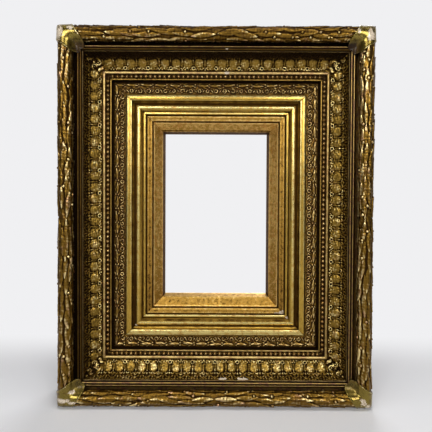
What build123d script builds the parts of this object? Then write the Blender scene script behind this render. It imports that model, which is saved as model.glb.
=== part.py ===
from build123d import *

import math
import os

# An ornate gilded frame, standing upright as it hangs: +Z up, width along X, front towards -Y.
# The origin lies under the middle of the frame, at half its depth. Lengths are in millimetres.
# A rail's section is drawn with x inwards from its outer face and y forwards from the back plane.

# Driving sizes of the whole frame
outer_width = 372.4
outer_height = 448.4
hole_overrun = 1.0  # how far a cut runs past the face that it starts from

# Garland moulding, the big torus of laurel leaves
garland_radius = 9.4
garland_center_height = 72.0
garland_pitch = 25.1  # one row of leaves
garland_leaf_rise = 0.9  # how far a leaf's tip stands over the root of the next
garland_tip_share = 0.86  # where the leaf is thickest, along the pitch

# Corner leaf
leaf_thickness = 1.2
leaf_seat_gap = 0.05
leaf_edge_reach = 19.0  # along each outer edge, from the corner
leaf_tip_width = 12.4
leaf_tip_rise = 1.3  # over the sight fillet
leaf_turn_angle = 30.0  # where the round over the garland ends, above level
leaf_skirt = 4.0  # how far the blank of the leaf runs down before it is cut to its seat

# Outer rail
board_side_height = 62.6
garland_bed_height = 64.0
quirk_width = 1.4
hollow_width = 3.9
hollow_rise = 3.5
thin_fillet_width = 1.2
thin_fillet_height = 70.8
thin_groove_width = 2.0
thin_groove_depth = 1.4
sight_fillet_width = 1.7
sight_fillet_height = 72.0

# Scoop rail: cove, half-round, bead channel, inner fillet, hollow and bed of the inner band
cove_lead = 0.4
cove_radius = 18.5
cove_top_height = 66.7
half_round_width = 3.5
bead_channel_width = 5.5
bead_channel_height = 46.5
inner_fillet_width = 1.6
inner_fillet_height = 48.0
band_hollow_width = 2.0
band_hollow_height = 40.0
band_width = 14.5
band_bed_height = 41.5
scoop_lip_width = 0.9
scoop_lip_height = 43.2
scoop_back_height = 6.0
heel_width = 10.7
heel_back_height = 0.6
liner_overlap = 4.7  # the scoop rail's lip over the liner
scoop_lip_thickness = 5.5

# Cove ornament: a skin on the cove with lobes, darts and fans across it
cove_skin = 1.1
cove_relief = 2.2
cove_pitch = 27.7
cove_margin_angle = 4.0
cove_arc_width_shares = (0.19, 0.19, 0.09, 0.14, 0.16, 0.14, 0.09)
cove_arc_height_shares = (1.0, 1.0, 0.4, 0.65, 0.8, 0.65, 0.4)

# Bead row
bead_diameter = 4.8
bead_pitch = 5.74
bead_center_lift = 0.8
bead_string_radius = 0.9

# Inner band: long leaves in the outer row, rosettes and slanted bars in the inner row
band_margin = 0.4
band_skin = 1.3
band_relief = 1.6
ribbon_pitch = 15.2
ribbon_row_width = 5.4
ribbon_row_inset = 3.6  # from the band's outer edge to the middle of the row
ribbon_length = 13.6
rosette_pitch = 33.0
rosette_diameter = 5.6
rosette_row_inset = 10.9  # from the band's outer edge
bar_length = 5.6
bar_width = 2.2
bar_spacing = 4.6
bars_per_repeat = 5
bar_slant = 55.0

# Liner rail, from its outer edge to the sight edge
liner_gap = 0.5
liner_clearance = 0.3
liner_back_height = 3.0
liner_flat_width = 6.3
liner_flat_height = 45.5
liner_flat_crown = 0.5
liner_cove_width = 3.8
liner_cove_floor_height = 38.9
liner_cove_sag = 0.9
liner_round_width = 8.2
liner_round_end_height = 37.6
liner_round_crown = 2.8  # over the middle of its two ends
liner_fillet_width = 4.1
liner_fillet_height = 36.0
liner_groove_width = 1.1
liner_groove_depth = 1.5
second_flat_width = 6.5
second_flat_start_height = 34.2
second_flat_end_height = 33.0
second_groove_width = 1.2
second_groove_depth = 1.6
slope_width = 10.1
slope_start_height = 31.0
slope_end_height = 21.0
sight_bevel_width = 2.6
sight_edge_height = 12.0
picture_lip = 6.5
picture_ledge_height = 10.0

# Glue blocks
block_leg = 26.0
block_thickness = 5.0
block_chamfer = 1.0

# Corner nails
nail_radius = 1.0
nail_length = 42.0
nail_head_radius = 2.0
nail_head_thickness = 0.9
nail_inset = 12.0
nail_heights = (18.0, 46.0)
nail_clearance = 0.04

# Liner brads
brad_radius = 0.7
brad_length = 14.0
brad_embedment = 7.2
brad_seat = 0.03
brad_clearance = 0.04
brad_place_share = 0.28  # of the rail's sight length, each side of its middle

# Turn buttons and their screws
button_pivot_inset = 15.6  # from the sight edge to the screw
button_reach = 14.5
button_tail = 6.5
button_width = 9.0
button_thickness = 1.5
button_chamfer = 0.3
button_gap = 0.1
button_bore_clearance = 0.08
button_screw_radius = 1.5
button_screw_length = 13.0
button_screw_head_radius = 3.1
button_screw_head_height = 1.1

# Hanger straps, rings and screws
hanger_drop = 128.0  # from the top of the frame to the ring's pivot
strap_width = 12.0
strap_length = 30.0
strap_thickness = 0.8
strap_corner_radius = 2.0
ring_wire_radius = 1.2
ring_width = 22.0
ring_drop = 15.0
ring_corner_radius = 3.4
ring_bend_radius = 10.0
ring_bore_clearance = 0.08
hanger_screw_radius = 1.4
hanger_screw_length = 12.0
hanger_screw_head_radius = 2.9
hanger_screw_head_height = 0.9
hanger_screw_spots = (9.0, 22.0)  # above the pivot
screw_slot_width = 0.7
screw_slot_depth = 0.5
screw_clearance = 0.05

# Insets and heights that follow from the sizes above
overall_depth = garland_center_height + garland_radius + leaf_thickness
garland_inset = leaf_thickness + garland_radius
thin_fillet_inset = garland_inset + garland_radius + hollow_width
sight_fillet_inset = thin_fillet_inset + thin_fillet_width + thin_groove_width
board_width = sight_fillet_inset + sight_fillet_width
cove_center_inset = board_width + cove_lead + cove_radius
cove_floor_height = cove_top_height - cove_radius
bead_channel_inset = cove_center_inset + half_round_width
inner_fillet_inset = bead_channel_inset + bead_channel_width
band_hollow_inset = inner_fillet_inset + inner_fillet_width
band_inset = band_hollow_inset + band_hollow_width
scoop_lip_inset = band_inset + band_width
scoop_width = scoop_lip_inset + scoop_lip_width
rabbet_inset = scoop_width - liner_overlap
rabbet_height = band_bed_height - scoop_lip_thickness
heel_inset = rabbet_inset - heel_width
liner_inset = scoop_width + liner_gap
liner_cove_inset = liner_inset + liner_flat_width
liner_round_inset = liner_cove_inset + liner_cove_width
liner_fillet_inset = liner_round_inset + liner_round_width
liner_groove_inset = liner_fillet_inset + liner_fillet_width
second_flat_inset = liner_groove_inset + liner_groove_width
second_groove_inset = second_flat_inset + second_flat_width
slope_inset = second_groove_inset + second_groove_width
sight_bevel_inset = slope_inset + slope_width
sight_inset = sight_bevel_inset + sight_bevel_width
picture_rabbet_inset = sight_inset - picture_lip
button_pivot = sight_inset - button_pivot_inset

# Directions and places of the four rails
front = Vector(0, -1, 0)
back_center = Vector(0, overall_depth / 2, outer_height / 2)
inward = {
    "bottom": Vector(0, 0, 1),
    "top": Vector(0, 0, -1),
    "left": Vector(1, 0, 0),
    "right": Vector(-1, 0, 0),
}
rail_length = {"bottom": outer_width, "top": outer_width, "left": outer_height, "right": outer_height}
rail_reach = {  # from the middle of the frame to the rail's outer face
    "bottom": outer_height / 2,
    "top": outer_height / 2,
    "left": outer_width / 2,
    "right": outer_width / 2,
}
corners = {
    "bottom_left": ("bottom", "left"),
    "bottom_right": ("bottom", "right"),
    "top_left": ("top", "left"),
    "top_right": ("top", "right"),
}
nodes = []


def along(side):
    return inward[side].cross(front)


def at(side, inset=0, height=0, run=0):
    # a point of the rail: inwards from its outer face, forwards from the back, along from its middle
    foot = back_center - inward[side] * rail_reach[side]
    return foot + inward[side] * inset + front * height + along(side) * run


def section_plane(side, inset=0, height=0):
    return Plane(origin=at(side, inset, height), x_dir=inward[side], z_dir=along(side))


def back_plane(side, inset, height, run=0):
    # looks backwards, with x along the rail
    return Plane(origin=at(side, inset, height, run), x_dir=along(side), z_dir=front * -1)


def front_plane(side, inset, height):
    # looks forwards, with x along the rail
    return Plane(origin=at(side, inset, height), x_dir=along(side), z_dir=front)


def mitre(side):
    # cuts both ends of the rail that is being built at 45 degrees, through the frame's corners
    for end in (1, -1):
        corner = at(side, 0, 0, end * rail_length[side] / 2)
        split(bisect_by=Plane(origin=corner, z_dir=along(side) * -end - inward[side]), keep=Keep.TOP)


def sight_length(side):
    return rail_length[side] - 2 * sight_inset


def nail_places():
    # planes at the heads of the corner nails, on the top and bottom boards, looking outwards
    spots = []
    for side in ("bottom", "top"):
        for end in (1, -1):
            for height in nail_heights:
                spot = at(side, 0, height, end * (outer_width / 2 - nail_inset))
                spots.append(Plane(origin=spot, x_dir=along(side), z_dir=inward[side] * -1))
    return spots


def brad_places(side):
    # planes inside the heel where the brads end, looking inwards
    height = liner_back_height - brad_radius - brad_seat
    run = brad_place_share * sight_length(side)
    inset = rabbet_inset - brad_embedment
    return [
        Plane(origin=at(side, inset, height, end * run), x_dir=along(side), z_dir=inward[side])
        for end in (1, -1)
    ]


def hanger_plane(side, above=0):
    # on the back of the scoop rail, looking backwards, with x to the right and y down
    spot = at(side, (board_width + heel_inset) / 2, scoop_back_height)
    spot.Z = outer_height - hanger_drop + above
    return Plane(origin=spot, x_dir=(1, 0, 0), z_dir=front * -1)


def save(piece, name):
    piece.part.label = name
    export_step(piece.part, f"parts/{name}.step")
    nodes.append(name)


os.makedirs("parts", exist_ok=True)

# Outer rails: side board, bed of the garland, hollow, thin fillet and sight fillet
outer_rails = {}
for side in inward:
    with BuildPart() as outer_rail:
        with BuildSketch(section_plane(side)):
            with BuildLine():
                hollow_foot = thin_fillet_inset - hollow_rise
                hollow_top = garland_bed_height + hollow_rise
                hollow_bend = hollow_rise * math.sqrt(0.5)
                Polyline(
                    (hollow_foot, garland_bed_height),
                    (quirk_width, garland_bed_height),
                    (0, board_side_height),
                    (0, 0),
                    (board_width, 0),
                    (board_width, sight_fillet_height),
                    (sight_fillet_inset, sight_fillet_height),
                    (sight_fillet_inset, thin_fillet_height - thin_groove_depth),
                    (sight_fillet_inset - thin_groove_width, thin_fillet_height - thin_groove_depth),
                    (sight_fillet_inset - thin_groove_width, thin_fillet_height),
                    (thin_fillet_inset, thin_fillet_height),
                    (thin_fillet_inset, hollow_top),
                )
                ThreePointArc(
                    (thin_fillet_inset, hollow_top),
                    (hollow_foot + hollow_bend, hollow_top - hollow_bend),
                    (hollow_foot, garland_bed_height),
                )
            make_face()
        extrude(amount=rail_length[side] / 2, both=True)
        mitre(side)
        for place in nail_places():
            with Locations(Location(place)):
                Hole(radius=nail_radius + nail_clearance, depth=nail_length + nail_clearance)
                Hole(radius=nail_head_radius + nail_clearance, depth=nail_head_thickness)
    outer_rails[side] = outer_rail.part
    save(outer_rail, f"outer_rail_{side}")

# Garland mouldings: a torus of overlapping leaf rows that point away from the rail's middle
for side in inward:
    row_count = math.ceil(rail_length[side] / 2 / garland_pitch)
    root_radius = garland_radius - garland_leaf_rise
    with BuildPart() as garland:
        axis_plane = Plane(
            origin=at(side, garland_inset, garland_center_height),
            x_dir=along(side),
            z_dir=inward[side] * -1,
        )
        with BuildSketch(axis_plane):
            with BuildLine():
                crest = [(0, root_radius)]
                for row in range(row_count):
                    start = row * garland_pitch
                    crest.append((start + garland_pitch * garland_tip_share, garland_radius))
                    crest.append((start + garland_pitch, root_radius))
                mirrored = [(-x, y) for x, y in reversed(crest[1:])]
                last = row_count * garland_pitch
                Polyline(*mirrored, *crest, (last, 0), (-last, 0), close=True)
            make_face()
        revolve(axis=Axis(axis_plane.origin, along(side)), revolution_arc=360)
        bed = Plane(origin=at(side, 0, garland_bed_height), x_dir=along(side), z_dir=front)
        split(bisect_by=bed, keep=Keep.TOP)
        mitre(side)
    save(garland, f"garland_{side}")

# Scoop rails: the cove and all that lies between it and the liner
for side in inward:
    with BuildPart() as scoop_rail:
        with BuildSketch(section_plane(side)):
            with BuildLine():
                half_round_radius = half_round_width / 2
                cove_mid = cove_radius * math.sqrt(0.5)
                ThreePointArc(
                    (board_width + cove_lead, cove_top_height),
                    (cove_center_inset - cove_mid, cove_top_height - cove_mid),
                    (cove_center_inset, cove_floor_height),
                )
                ThreePointArc(
                    (cove_center_inset, cove_floor_height),
                    (cove_center_inset + half_round_radius, cove_floor_height + half_round_radius),
                    (bead_channel_inset, cove_floor_height),
                )
                Polyline(
                    (bead_channel_inset, cove_floor_height),
                    (bead_channel_inset, bead_channel_height),
                    (inner_fillet_inset, bead_channel_height),
                    (inner_fillet_inset, inner_fillet_height),
                    (band_hollow_inset, inner_fillet_height),
                    (band_hollow_inset, band_hollow_height),
                    (band_inset, band_hollow_height),
                    (band_inset, band_bed_height),
                    (scoop_lip_inset, band_bed_height),
                    (scoop_lip_inset, scoop_lip_height),
                    (scoop_width, scoop_lip_height),
                    (scoop_width, rabbet_height),
                    (rabbet_inset, rabbet_height),
                    (rabbet_inset, heel_back_height),
                    (heel_inset, heel_back_height),
                    (heel_inset, scoop_back_height),
                    (board_width, scoop_back_height),
                    (board_width, cove_top_height),
                    (board_width + cove_lead, cove_top_height),
                )
            make_face()
        extrude(amount=rail_length[side] / 2, both=True)
        mitre(side)
        for place in brad_places(side):
            with BuildSketch(place):
                Circle(brad_radius + brad_clearance)
            extrude(amount=brad_length, mode=Mode.SUBTRACT)
        if side in ("left", "right"):
            for above in hanger_screw_spots:
                with Locations(Location(hanger_plane(side, above))):
                    Hole(radius=hanger_screw_radius + screw_clearance, depth=hanger_screw_length)
    save(scoop_rail, f"scoop_rail_{side}")

# Cove ornament: lobes, darts and fans, each a ridge that turns about the cove's own axis
for side in inward:
    with BuildPart() as cove_band:
        margin = math.radians(cove_margin_angle)
        outwards = inward[side] * -math.cos(margin) - front * math.sin(margin)
        start_plane = Plane(
            origin=at(side, cove_center_inset, cove_top_height),
            x_dir=along(side),
            z_dir=along(side).cross(outwards),
        )
        repeats = math.ceil(rail_length[side] / cove_pitch / 2) * 2
        half_run = repeats * cove_pitch / 2
        valley = cove_radius - cove_skin
        with BuildSketch(start_plane):
            with BuildLine():
                x = -half_run
                for repeat in range(repeats):
                    for width_share, height_share in zip(cove_arc_width_shares, cove_arc_height_shares):
                        width = width_share * cove_pitch
                        peak = valley - height_share * cove_relief
                        ThreePointArc((x, valley), (x + width / 2, peak), (x + width, valley))
                        x += width
                Polyline((x, valley), (x, cove_radius), (-half_run, cove_radius), (-half_run, valley))
            make_face()
        revolve(
            axis=Axis(start_plane.origin, along(side)),
            revolution_arc=90 - 2 * cove_margin_angle,
        )
        mitre(side)
    save(cove_band, f"cove_ornament_{side}")

# Bead rows: round beads on a string, sunk to the floor of their channel
for side in inward:
    bead_height = bead_channel_height + bead_center_lift
    bead_inset = bead_channel_inset + bead_channel_width / 2
    bead_radius = bead_diameter / 2
    with BuildPart() as bead_row:
        row_plane = Plane(
            origin=at(side, bead_inset, bead_height),
            x_dir=along(side),
            z_dir=inward[side] * -1,
        )
        run = rail_length[side] - 2 * bead_inset
        bead_count = round(run / bead_pitch)
        pitch = run / bead_count
        string_reach = math.sqrt(bead_radius**2 - bead_string_radius**2)
        with BuildSketch(row_plane):
            with BuildLine():
                points = []
                for bead in range(bead_count + 1):
                    x = bead * pitch - run / 2
                    ThreePointArc(
                        (x - string_reach, bead_string_radius),
                        (x, bead_radius),
                        (x + string_reach, bead_string_radius),
                    )
                    if bead < bead_count:
                        Line(
                            (x + string_reach, bead_string_radius),
                            (x + pitch - string_reach, bead_string_radius),
                        )
                last = run / 2 + string_reach
                Polyline(
                    (last, bead_string_radius),
                    (last, 0),
                    (-last, 0),
                    (-last, bead_string_radius),
                )
            make_face()
        revolve(axis=Axis(row_plane.origin, along(side)), revolution_arc=360)
        floor = Plane(origin=at(side, 0, bead_channel_height), x_dir=along(side), z_dir=front)
        split(bisect_by=floor, keep=Keep.TOP)
        mitre(side)
    save(bead_row, f"bead_row_{side}")

# Inner bands: long leaves in the outer row, rosettes and slanted bars in the inner one
for side in inward:
    with BuildPart() as inner_band:
        with BuildSketch(section_plane(side, band_inset + band_margin, band_bed_height)):
            with Locations(((band_width - 2 * band_margin) / 2, band_skin / 2)):
                Rectangle(band_width - 2 * band_margin, band_skin)
        extrude(amount=rail_length[side] / 2, both=True)
        half_run = rail_length[side] / 2 - band_inset
        leaf_count = math.floor(half_run / ribbon_pitch)
        with BuildSketch(front_plane(side, band_inset + ribbon_row_inset, band_bed_height)):
            for leaf in range(-leaf_count, leaf_count + 1):
                with Locations((leaf * ribbon_pitch, 0)):
                    Ellipse(ribbon_length / 2, ribbon_row_width / 2)
        extrude(amount=band_skin + band_relief)
        rosette_count = math.floor(half_run / rosette_pitch)
        with BuildSketch(front_plane(side, band_inset + rosette_row_inset, band_bed_height)):
            for rosette in range(-rosette_count, rosette_count + 1):
                with Locations((rosette * rosette_pitch, 0)):
                    Circle(rosette_diameter / 2)
            for rosette in range(-rosette_count, rosette_count):
                middle = (rosette + 1 / 2) * rosette_pitch
                for bar in range(bars_per_repeat):
                    offset = (bar - (bars_per_repeat - 1) / 2) * bar_spacing
                    with Locations((middle + offset, 0)):
                        SlotOverall(bar_length, bar_width, rotation=bar_slant)
        extrude(amount=band_skin + band_relief)
        mitre(side)
    save(inner_band, f"inner_band_{side}")

# Liner rails: the burnished steps, the sight edge and the rabbet for the picture
for side in inward:
    with BuildPart() as liner_rail:
        with BuildSketch(section_plane(side)):
            with BuildLine():
                ThreePointArc(
                    (liner_inset, liner_flat_height),
                    ((liner_inset + liner_cove_inset) / 2, liner_flat_height + liner_flat_crown),
                    (liner_cove_inset, liner_flat_height),
                )
                ThreePointArc(
                    (liner_cove_inset, liner_flat_height),
                    (
                        (liner_cove_inset + liner_round_inset) / 2 - liner_cove_sag,
                        (liner_flat_height + liner_cove_floor_height) / 2 - liner_cove_sag,
                    ),
                    (liner_round_inset, liner_cove_floor_height),
                )
                ThreePointArc(
                    (liner_round_inset, liner_cove_floor_height),
                    (
                        (liner_round_inset + liner_fillet_inset) / 2,
                        (liner_cove_floor_height + liner_round_end_height) / 2 + liner_round_crown,
                    ),
                    (liner_fillet_inset, liner_round_end_height),
                )
                Polyline(
                    (liner_fillet_inset, liner_round_end_height),
                    (liner_fillet_inset, liner_fillet_height),
                    (liner_groove_inset, liner_fillet_height),
                    (liner_groove_inset, second_flat_start_height - liner_groove_depth),
                    (second_flat_inset, second_flat_start_height - liner_groove_depth),
                    (second_flat_inset, second_flat_start_height),
                    (second_groove_inset, second_flat_end_height),
                    (second_groove_inset, slope_start_height - second_groove_depth),
                    (slope_inset, slope_start_height - second_groove_depth),
                    (slope_inset, slope_start_height),
                    (sight_bevel_inset, slope_end_height),
                    (sight_inset, sight_edge_height),
                    (sight_inset, picture_ledge_height),
                    (picture_rabbet_inset, picture_ledge_height),
                    (picture_rabbet_inset, liner_back_height),
                    (rabbet_inset + liner_clearance, liner_back_height),
                    (rabbet_inset + liner_clearance, rabbet_height),
                    (liner_inset, rabbet_height),
                    (liner_inset, liner_flat_height),
                )
            make_face()
        extrude(amount=rail_length[side] / 2, both=True)
        mitre(side)
        with Locations(Location(back_plane(side, button_pivot, liner_back_height))):
            Hole(radius=button_screw_radius + screw_clearance, depth=button_screw_length)
    save(liner_rail, f"liner_rail_{side}")

# Corner leaves: plain caps over the mitred garland, cut to sit on the rails
for name, sides in corners.items():
    with BuildPart() as corner_leaf:
        for side in sides:
            with BuildPart(mode=Mode.PRIVATE) as arm:
                with BuildSketch(section_plane(side)):
                    with BuildLine():
                        turn = math.radians(leaf_turn_angle)
                        outer_radius = garland_radius + leaf_thickness
                        turn_point = (
                            garland_inset + outer_radius * math.cos(turn),
                            garland_center_height + outer_radius * math.sin(turn),
                        )
                        ThreePointArc(
                            (0, garland_center_height),
                            (garland_inset, garland_center_height + outer_radius),
                            turn_point,
                        )
                        Polyline(
                            turn_point,
                            (board_width, sight_fillet_height + leaf_tip_rise),
                            (board_width, board_side_height - leaf_skirt),
                            (0, board_side_height - leaf_skirt),
                            (0, garland_center_height),
                        )
                    make_face()
                    with Locations((garland_inset, garland_center_height)):
                        Circle(garland_radius + leaf_seat_gap, mode=Mode.SUBTRACT)
                extrude(amount=rail_length[side] / 2, both=True)
                mitre(side)
            add(arm.part)
        corner = at(sides[0], 0, board_side_height - leaf_skirt) + inward[sides[1]] * -(outer_width / 2)
        diagonal = (inward[sides[0]] + inward[sides[1]]).normalized()
        shoulder = leaf_edge_reach * math.sqrt(0.5)
        tip = board_width * math.sqrt(2)
        leaf_plane = Plane(origin=corner, x_dir=diagonal, z_dir=front)
        with BuildSketch(leaf_plane):
            with BuildLine():
                Polyline(
                    (0, 0),
                    (shoulder, shoulder),
                    (tip, leaf_tip_width / 2),
                    (tip, -leaf_tip_width / 2),
                    (shoulder, -shoulder),
                    close=True,
                )
            make_face()
        extrude(amount=overall_depth, mode=Mode.INTERSECT)
        for side in sides:
            add(outer_rails[side], mode=Mode.SUBTRACT)
    save(corner_leaf, f"corner_leaf_{name}")

# Glue blocks: in the corners of the channel behind the scoop rails
for name, sides in corners.items():
    with BuildPart() as glue_block:
        spot = at(sides[0], board_width, scoop_back_height)
        spot = spot - inward[sides[1]] * (outer_width / 2 - board_width)
        with BuildSketch(Plane(origin=spot, x_dir=inward[sides[0]], z_dir=front * -1)):
            turned = inward[sides[0]].cross(inward[sides[1]]).dot(front) < 0
            leg = block_leg if turned else -block_leg
            Polygon((0, 0), (block_leg, 0), (0, leg), align=None)
        extrude(amount=block_thickness)
        chamfer(glue_block.faces().sort_by(Axis.Y)[-1].edges(), length=block_chamfer)
    save(glue_block, f"glue_block_{name}")

# Corner nails: two through each mitre, from the top and bottom boards into the sides
with BuildPart() as corner_nails:
    for place in nail_places():
        with BuildSketch(place):
            Circle(nail_head_radius)
        extrude(amount=-nail_head_thickness)
        with BuildSketch(place):
            Circle(nail_radius)
        extrude(amount=-nail_length)
save(corner_nails, "corner_nails")

# Liner brads: out of the heel of the scoop rail, over the back of the liner
with BuildPart() as liner_brads:
    for side in inward:
        for place in brad_places(side):
            with BuildSketch(place):
                Circle(brad_radius)
            extrude(amount=brad_length)
save(liner_brads, "liner_brads")

# Turn buttons: they lie along the rails, clear of the picture rabbet
for side in inward:
    with BuildPart() as turn_button:
        with BuildSketch(back_plane(side, button_pivot, liner_back_height - button_gap)):
            with Locations(((button_reach - button_tail) / 2, 0)):
                SlotOverall(button_reach + button_tail, button_width)
            Circle(button_screw_radius + button_bore_clearance, mode=Mode.SUBTRACT)
        extrude(amount=button_thickness)
        outline = turn_button.faces().sort_by(Axis.Y)[-1].outer_wire().edges()
        chamfer(outline, length=button_chamfer)
    save(turn_button, f"turn_button_{side}")

# Screws of the turn buttons, with slotted heads
with BuildPart() as button_screws:
    head_seat = liner_back_height - 2 * button_gap - button_thickness
    for side in inward:
        seat = back_plane(side, button_pivot, head_seat)
        with BuildSketch(seat):
            Circle(button_screw_head_radius)
        extrude(amount=button_screw_head_height)
        with BuildSketch(seat):
            Circle(button_screw_radius)
        extrude(amount=-(button_screw_length - screw_clearance))
        with BuildSketch(seat.offset(button_screw_head_height)):
            Rectangle(2 * button_screw_head_radius + hole_overrun, screw_slot_width)
        extrude(amount=-screw_slot_depth, mode=Mode.SUBTRACT)
save(button_screws, "turn_button_screws")

# Hanger straps: a plate folded round the straight side of its ring
barrel_radius = ring_wire_radius + ring_bore_clearance + strap_thickness
for side in ("left", "right"):
    with BuildPart() as hanger_strap:
        with BuildSketch(hanger_plane(side)):
            with Locations((0, -strap_length / 2)):
                RectangleRounded(strap_width, strap_length, strap_corner_radius)
            with Locations((0, -strap_corner_radius)):
                Rectangle(strap_width, 2 * strap_corner_radius)
            for above in hanger_screw_spots:
                with Locations((0, -above)):
                    Circle(hanger_screw_radius + screw_clearance, mode=Mode.SUBTRACT)
        extrude(amount=strap_thickness)
        pivot = hanger_plane(side).origin - front * barrel_radius
        with BuildSketch(Plane(origin=pivot, x_dir=(0, 1, 0), z_dir=(1, 0, 0))):
            Circle(barrel_radius)
        extrude(amount=strap_width / 2, both=True)
        with BuildSketch(Plane(origin=pivot, x_dir=(0, 1, 0), z_dir=(1, 0, 0))):
            Circle(ring_wire_radius + ring_bore_clearance)
        extrude(amount=strap_width / 2 + hole_overrun, both=True, mode=Mode.SUBTRACT)
    save(hanger_strap, f"hanger_strap_{side}")

# Hanger rings: wire loops that hang from the straps, with a straight side in the fold
for side in ("left", "right"):
    with BuildPart() as hanger_ring:
        pivot = hanger_plane(side).origin - front * barrel_radius
        ring_plane = Plane(origin=pivot, x_dir=(1, 0, 0), z_dir=front * -1)
        with BuildLine(ring_plane):
            FilletPolyline(
                (0, 0),
                (ring_width / 2, 0),
                (ring_width / 2, ring_drop),
                (0, ring_drop),
                radius=[ring_corner_radius, ring_bend_radius],
            )
        with BuildSketch(Plane(origin=pivot, x_dir=(0, 1, 0), z_dir=(1, 0, 0))):
            Circle(ring_wire_radius)
        sweep()
        mirror(about=Plane(origin=pivot, x_dir=(0, 1, 0), z_dir=(1, 0, 0)))
    save(hanger_ring, f"hanger_ring_{side}")

# Screws of the hanger straps, with slotted heads
with BuildPart() as hanger_screws:
    for side in ("left", "right"):
        for above in hanger_screw_spots:
            seat = hanger_plane(side, above).offset(strap_thickness)
            with BuildSketch(seat):
                Circle(hanger_screw_head_radius)
            extrude(amount=hanger_screw_head_height)
            with BuildSketch(seat):
                Circle(hanger_screw_radius)
            extrude(amount=-(hanger_screw_length - screw_clearance))
            with BuildSketch(seat.offset(hanger_screw_head_height)):
                Rectangle(2 * hanger_screw_head_radius + hole_overrun, screw_slot_width)
            extrude(amount=-screw_slot_depth, mode=Mode.SUBTRACT)
save(hanger_screws, "hanger_screws")

print(len(nodes), "nodes;", "depth", overall_depth)
print("sight opening", sight_length("bottom"), "by", sight_length("left"))
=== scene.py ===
import math

import bmesh
import bpy
import numpy as np
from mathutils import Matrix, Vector


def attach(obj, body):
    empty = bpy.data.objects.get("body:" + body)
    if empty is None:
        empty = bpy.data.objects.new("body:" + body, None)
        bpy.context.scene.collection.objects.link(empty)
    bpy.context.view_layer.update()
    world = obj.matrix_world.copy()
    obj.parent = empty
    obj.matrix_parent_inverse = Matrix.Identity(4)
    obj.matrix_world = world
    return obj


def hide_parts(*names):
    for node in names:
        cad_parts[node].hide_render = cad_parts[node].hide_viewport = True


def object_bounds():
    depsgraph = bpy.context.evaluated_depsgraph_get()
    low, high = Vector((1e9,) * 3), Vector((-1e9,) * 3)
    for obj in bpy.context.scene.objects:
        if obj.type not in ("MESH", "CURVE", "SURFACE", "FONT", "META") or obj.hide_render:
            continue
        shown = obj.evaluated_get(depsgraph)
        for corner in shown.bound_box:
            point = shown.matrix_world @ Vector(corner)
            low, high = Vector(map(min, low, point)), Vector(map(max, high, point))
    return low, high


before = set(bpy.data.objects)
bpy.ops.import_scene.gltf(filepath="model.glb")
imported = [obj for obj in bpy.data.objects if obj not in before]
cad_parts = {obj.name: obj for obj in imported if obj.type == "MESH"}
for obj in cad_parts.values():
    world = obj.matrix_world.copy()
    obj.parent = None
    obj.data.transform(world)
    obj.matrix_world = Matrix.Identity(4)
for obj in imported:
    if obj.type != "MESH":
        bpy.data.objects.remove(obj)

# An old gilded picture frame: carved and cast ornament on wooden rails, gold leaf over clay,
# toned with umber. Shapes are worked out in millimetres on each rail: inset from the outer face,
# height from the back, run along the rail from its middle.

mm = 0.001
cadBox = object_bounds()
frameWidth = (cadBox[1][0] - cadBox[0][0]) / mm
frameHeight = (cadBox[1][2] - cadBox[0][2]) / mm
backPlane = cadBox[1][1] / mm

rails = {
    "bottom": {"inward": (0, 0, 1), "along": (-1, 0, 0), "reach": frameHeight / 2, "half": frameWidth / 2},
    "top": {"inward": (0, 0, -1), "along": (1, 0, 0), "reach": frameHeight / 2, "half": frameWidth / 2},
    "left": {"inward": (1, 0, 0), "along": (0, 0, 1), "reach": frameWidth / 2, "half": frameHeight / 2},
    "right": {"inward": (-1, 0, 0), "along": (0, 0, -1), "reach": frameWidth / 2, "half": frameHeight / 2},
}


def railPoints(side, run, inset, height):
    # millimetres on a rail to metres in the frame
    rail = rails[side]
    inward = np.array(rail["inward"], float)
    along = np.array(rail["along"], float)
    middle = np.array((0, backPlane, frameHeight / 2)) - inward * rail["reach"]
    front = np.array((0, -1, 0), float)
    spots = run[..., None] * along + inset[..., None] * inward + height[..., None] * front
    return (spots + middle) * mm


def railSeed(settings, side):
    # every rail has its own chance, the same at each run
    return settings["seed"] + sum(map(ord, side))


def looseHand(draw, usual):
    # gives a function that puts a value a little off, as hand work does
    return lambda value, amount=usual: value + draw.uniform(-amount, amount)


def addObject(name, data):
    item = bpy.data.objects.new(name, data)
    bpy.context.scene.collection.objects.link(item)
    return item


# Colours and materials

def linear(hexColor):
    # an sRGB hex colour as the linear values that a socket takes
    channels = [int(hexColor[i:i + 2], 16) / 255 for i in (1, 3, 5)]
    return tuple(c / 12.92 if c <= 0.04045 else ((c + 0.055) / 1.055) ** 2.4 for c in channels) + (1,)


def fillInputs(tree, node, inputs):
    # a socket is linked, a text is a colour, anything else is the value itself
    for name, value in inputs.items():
        if isinstance(value, bpy.types.NodeSocket):
            tree.links.new(value, node.inputs[name])
        else:
            node.inputs[name].default_value = linear(value) if isinstance(value, str) else value


def addNode(tree, kind, inputs=None, output=0, **settings):
    # one node with its settings, values and links; gives the output to link on
    node = tree.nodes.new("ShaderNode" + kind)
    for name, value in settings.items():
        setattr(node, name, value)
    fillInputs(tree, node, inputs or {})
    return node.outputs[output]


def newMaterial(name):
    material = bpy.data.materials.new(name)
    material.use_nodes = True
    tree = material.node_tree
    return material, tree, tree.nodes["Principled BSDF"], addNode(tree, "TexCoord", output="Object")


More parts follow.
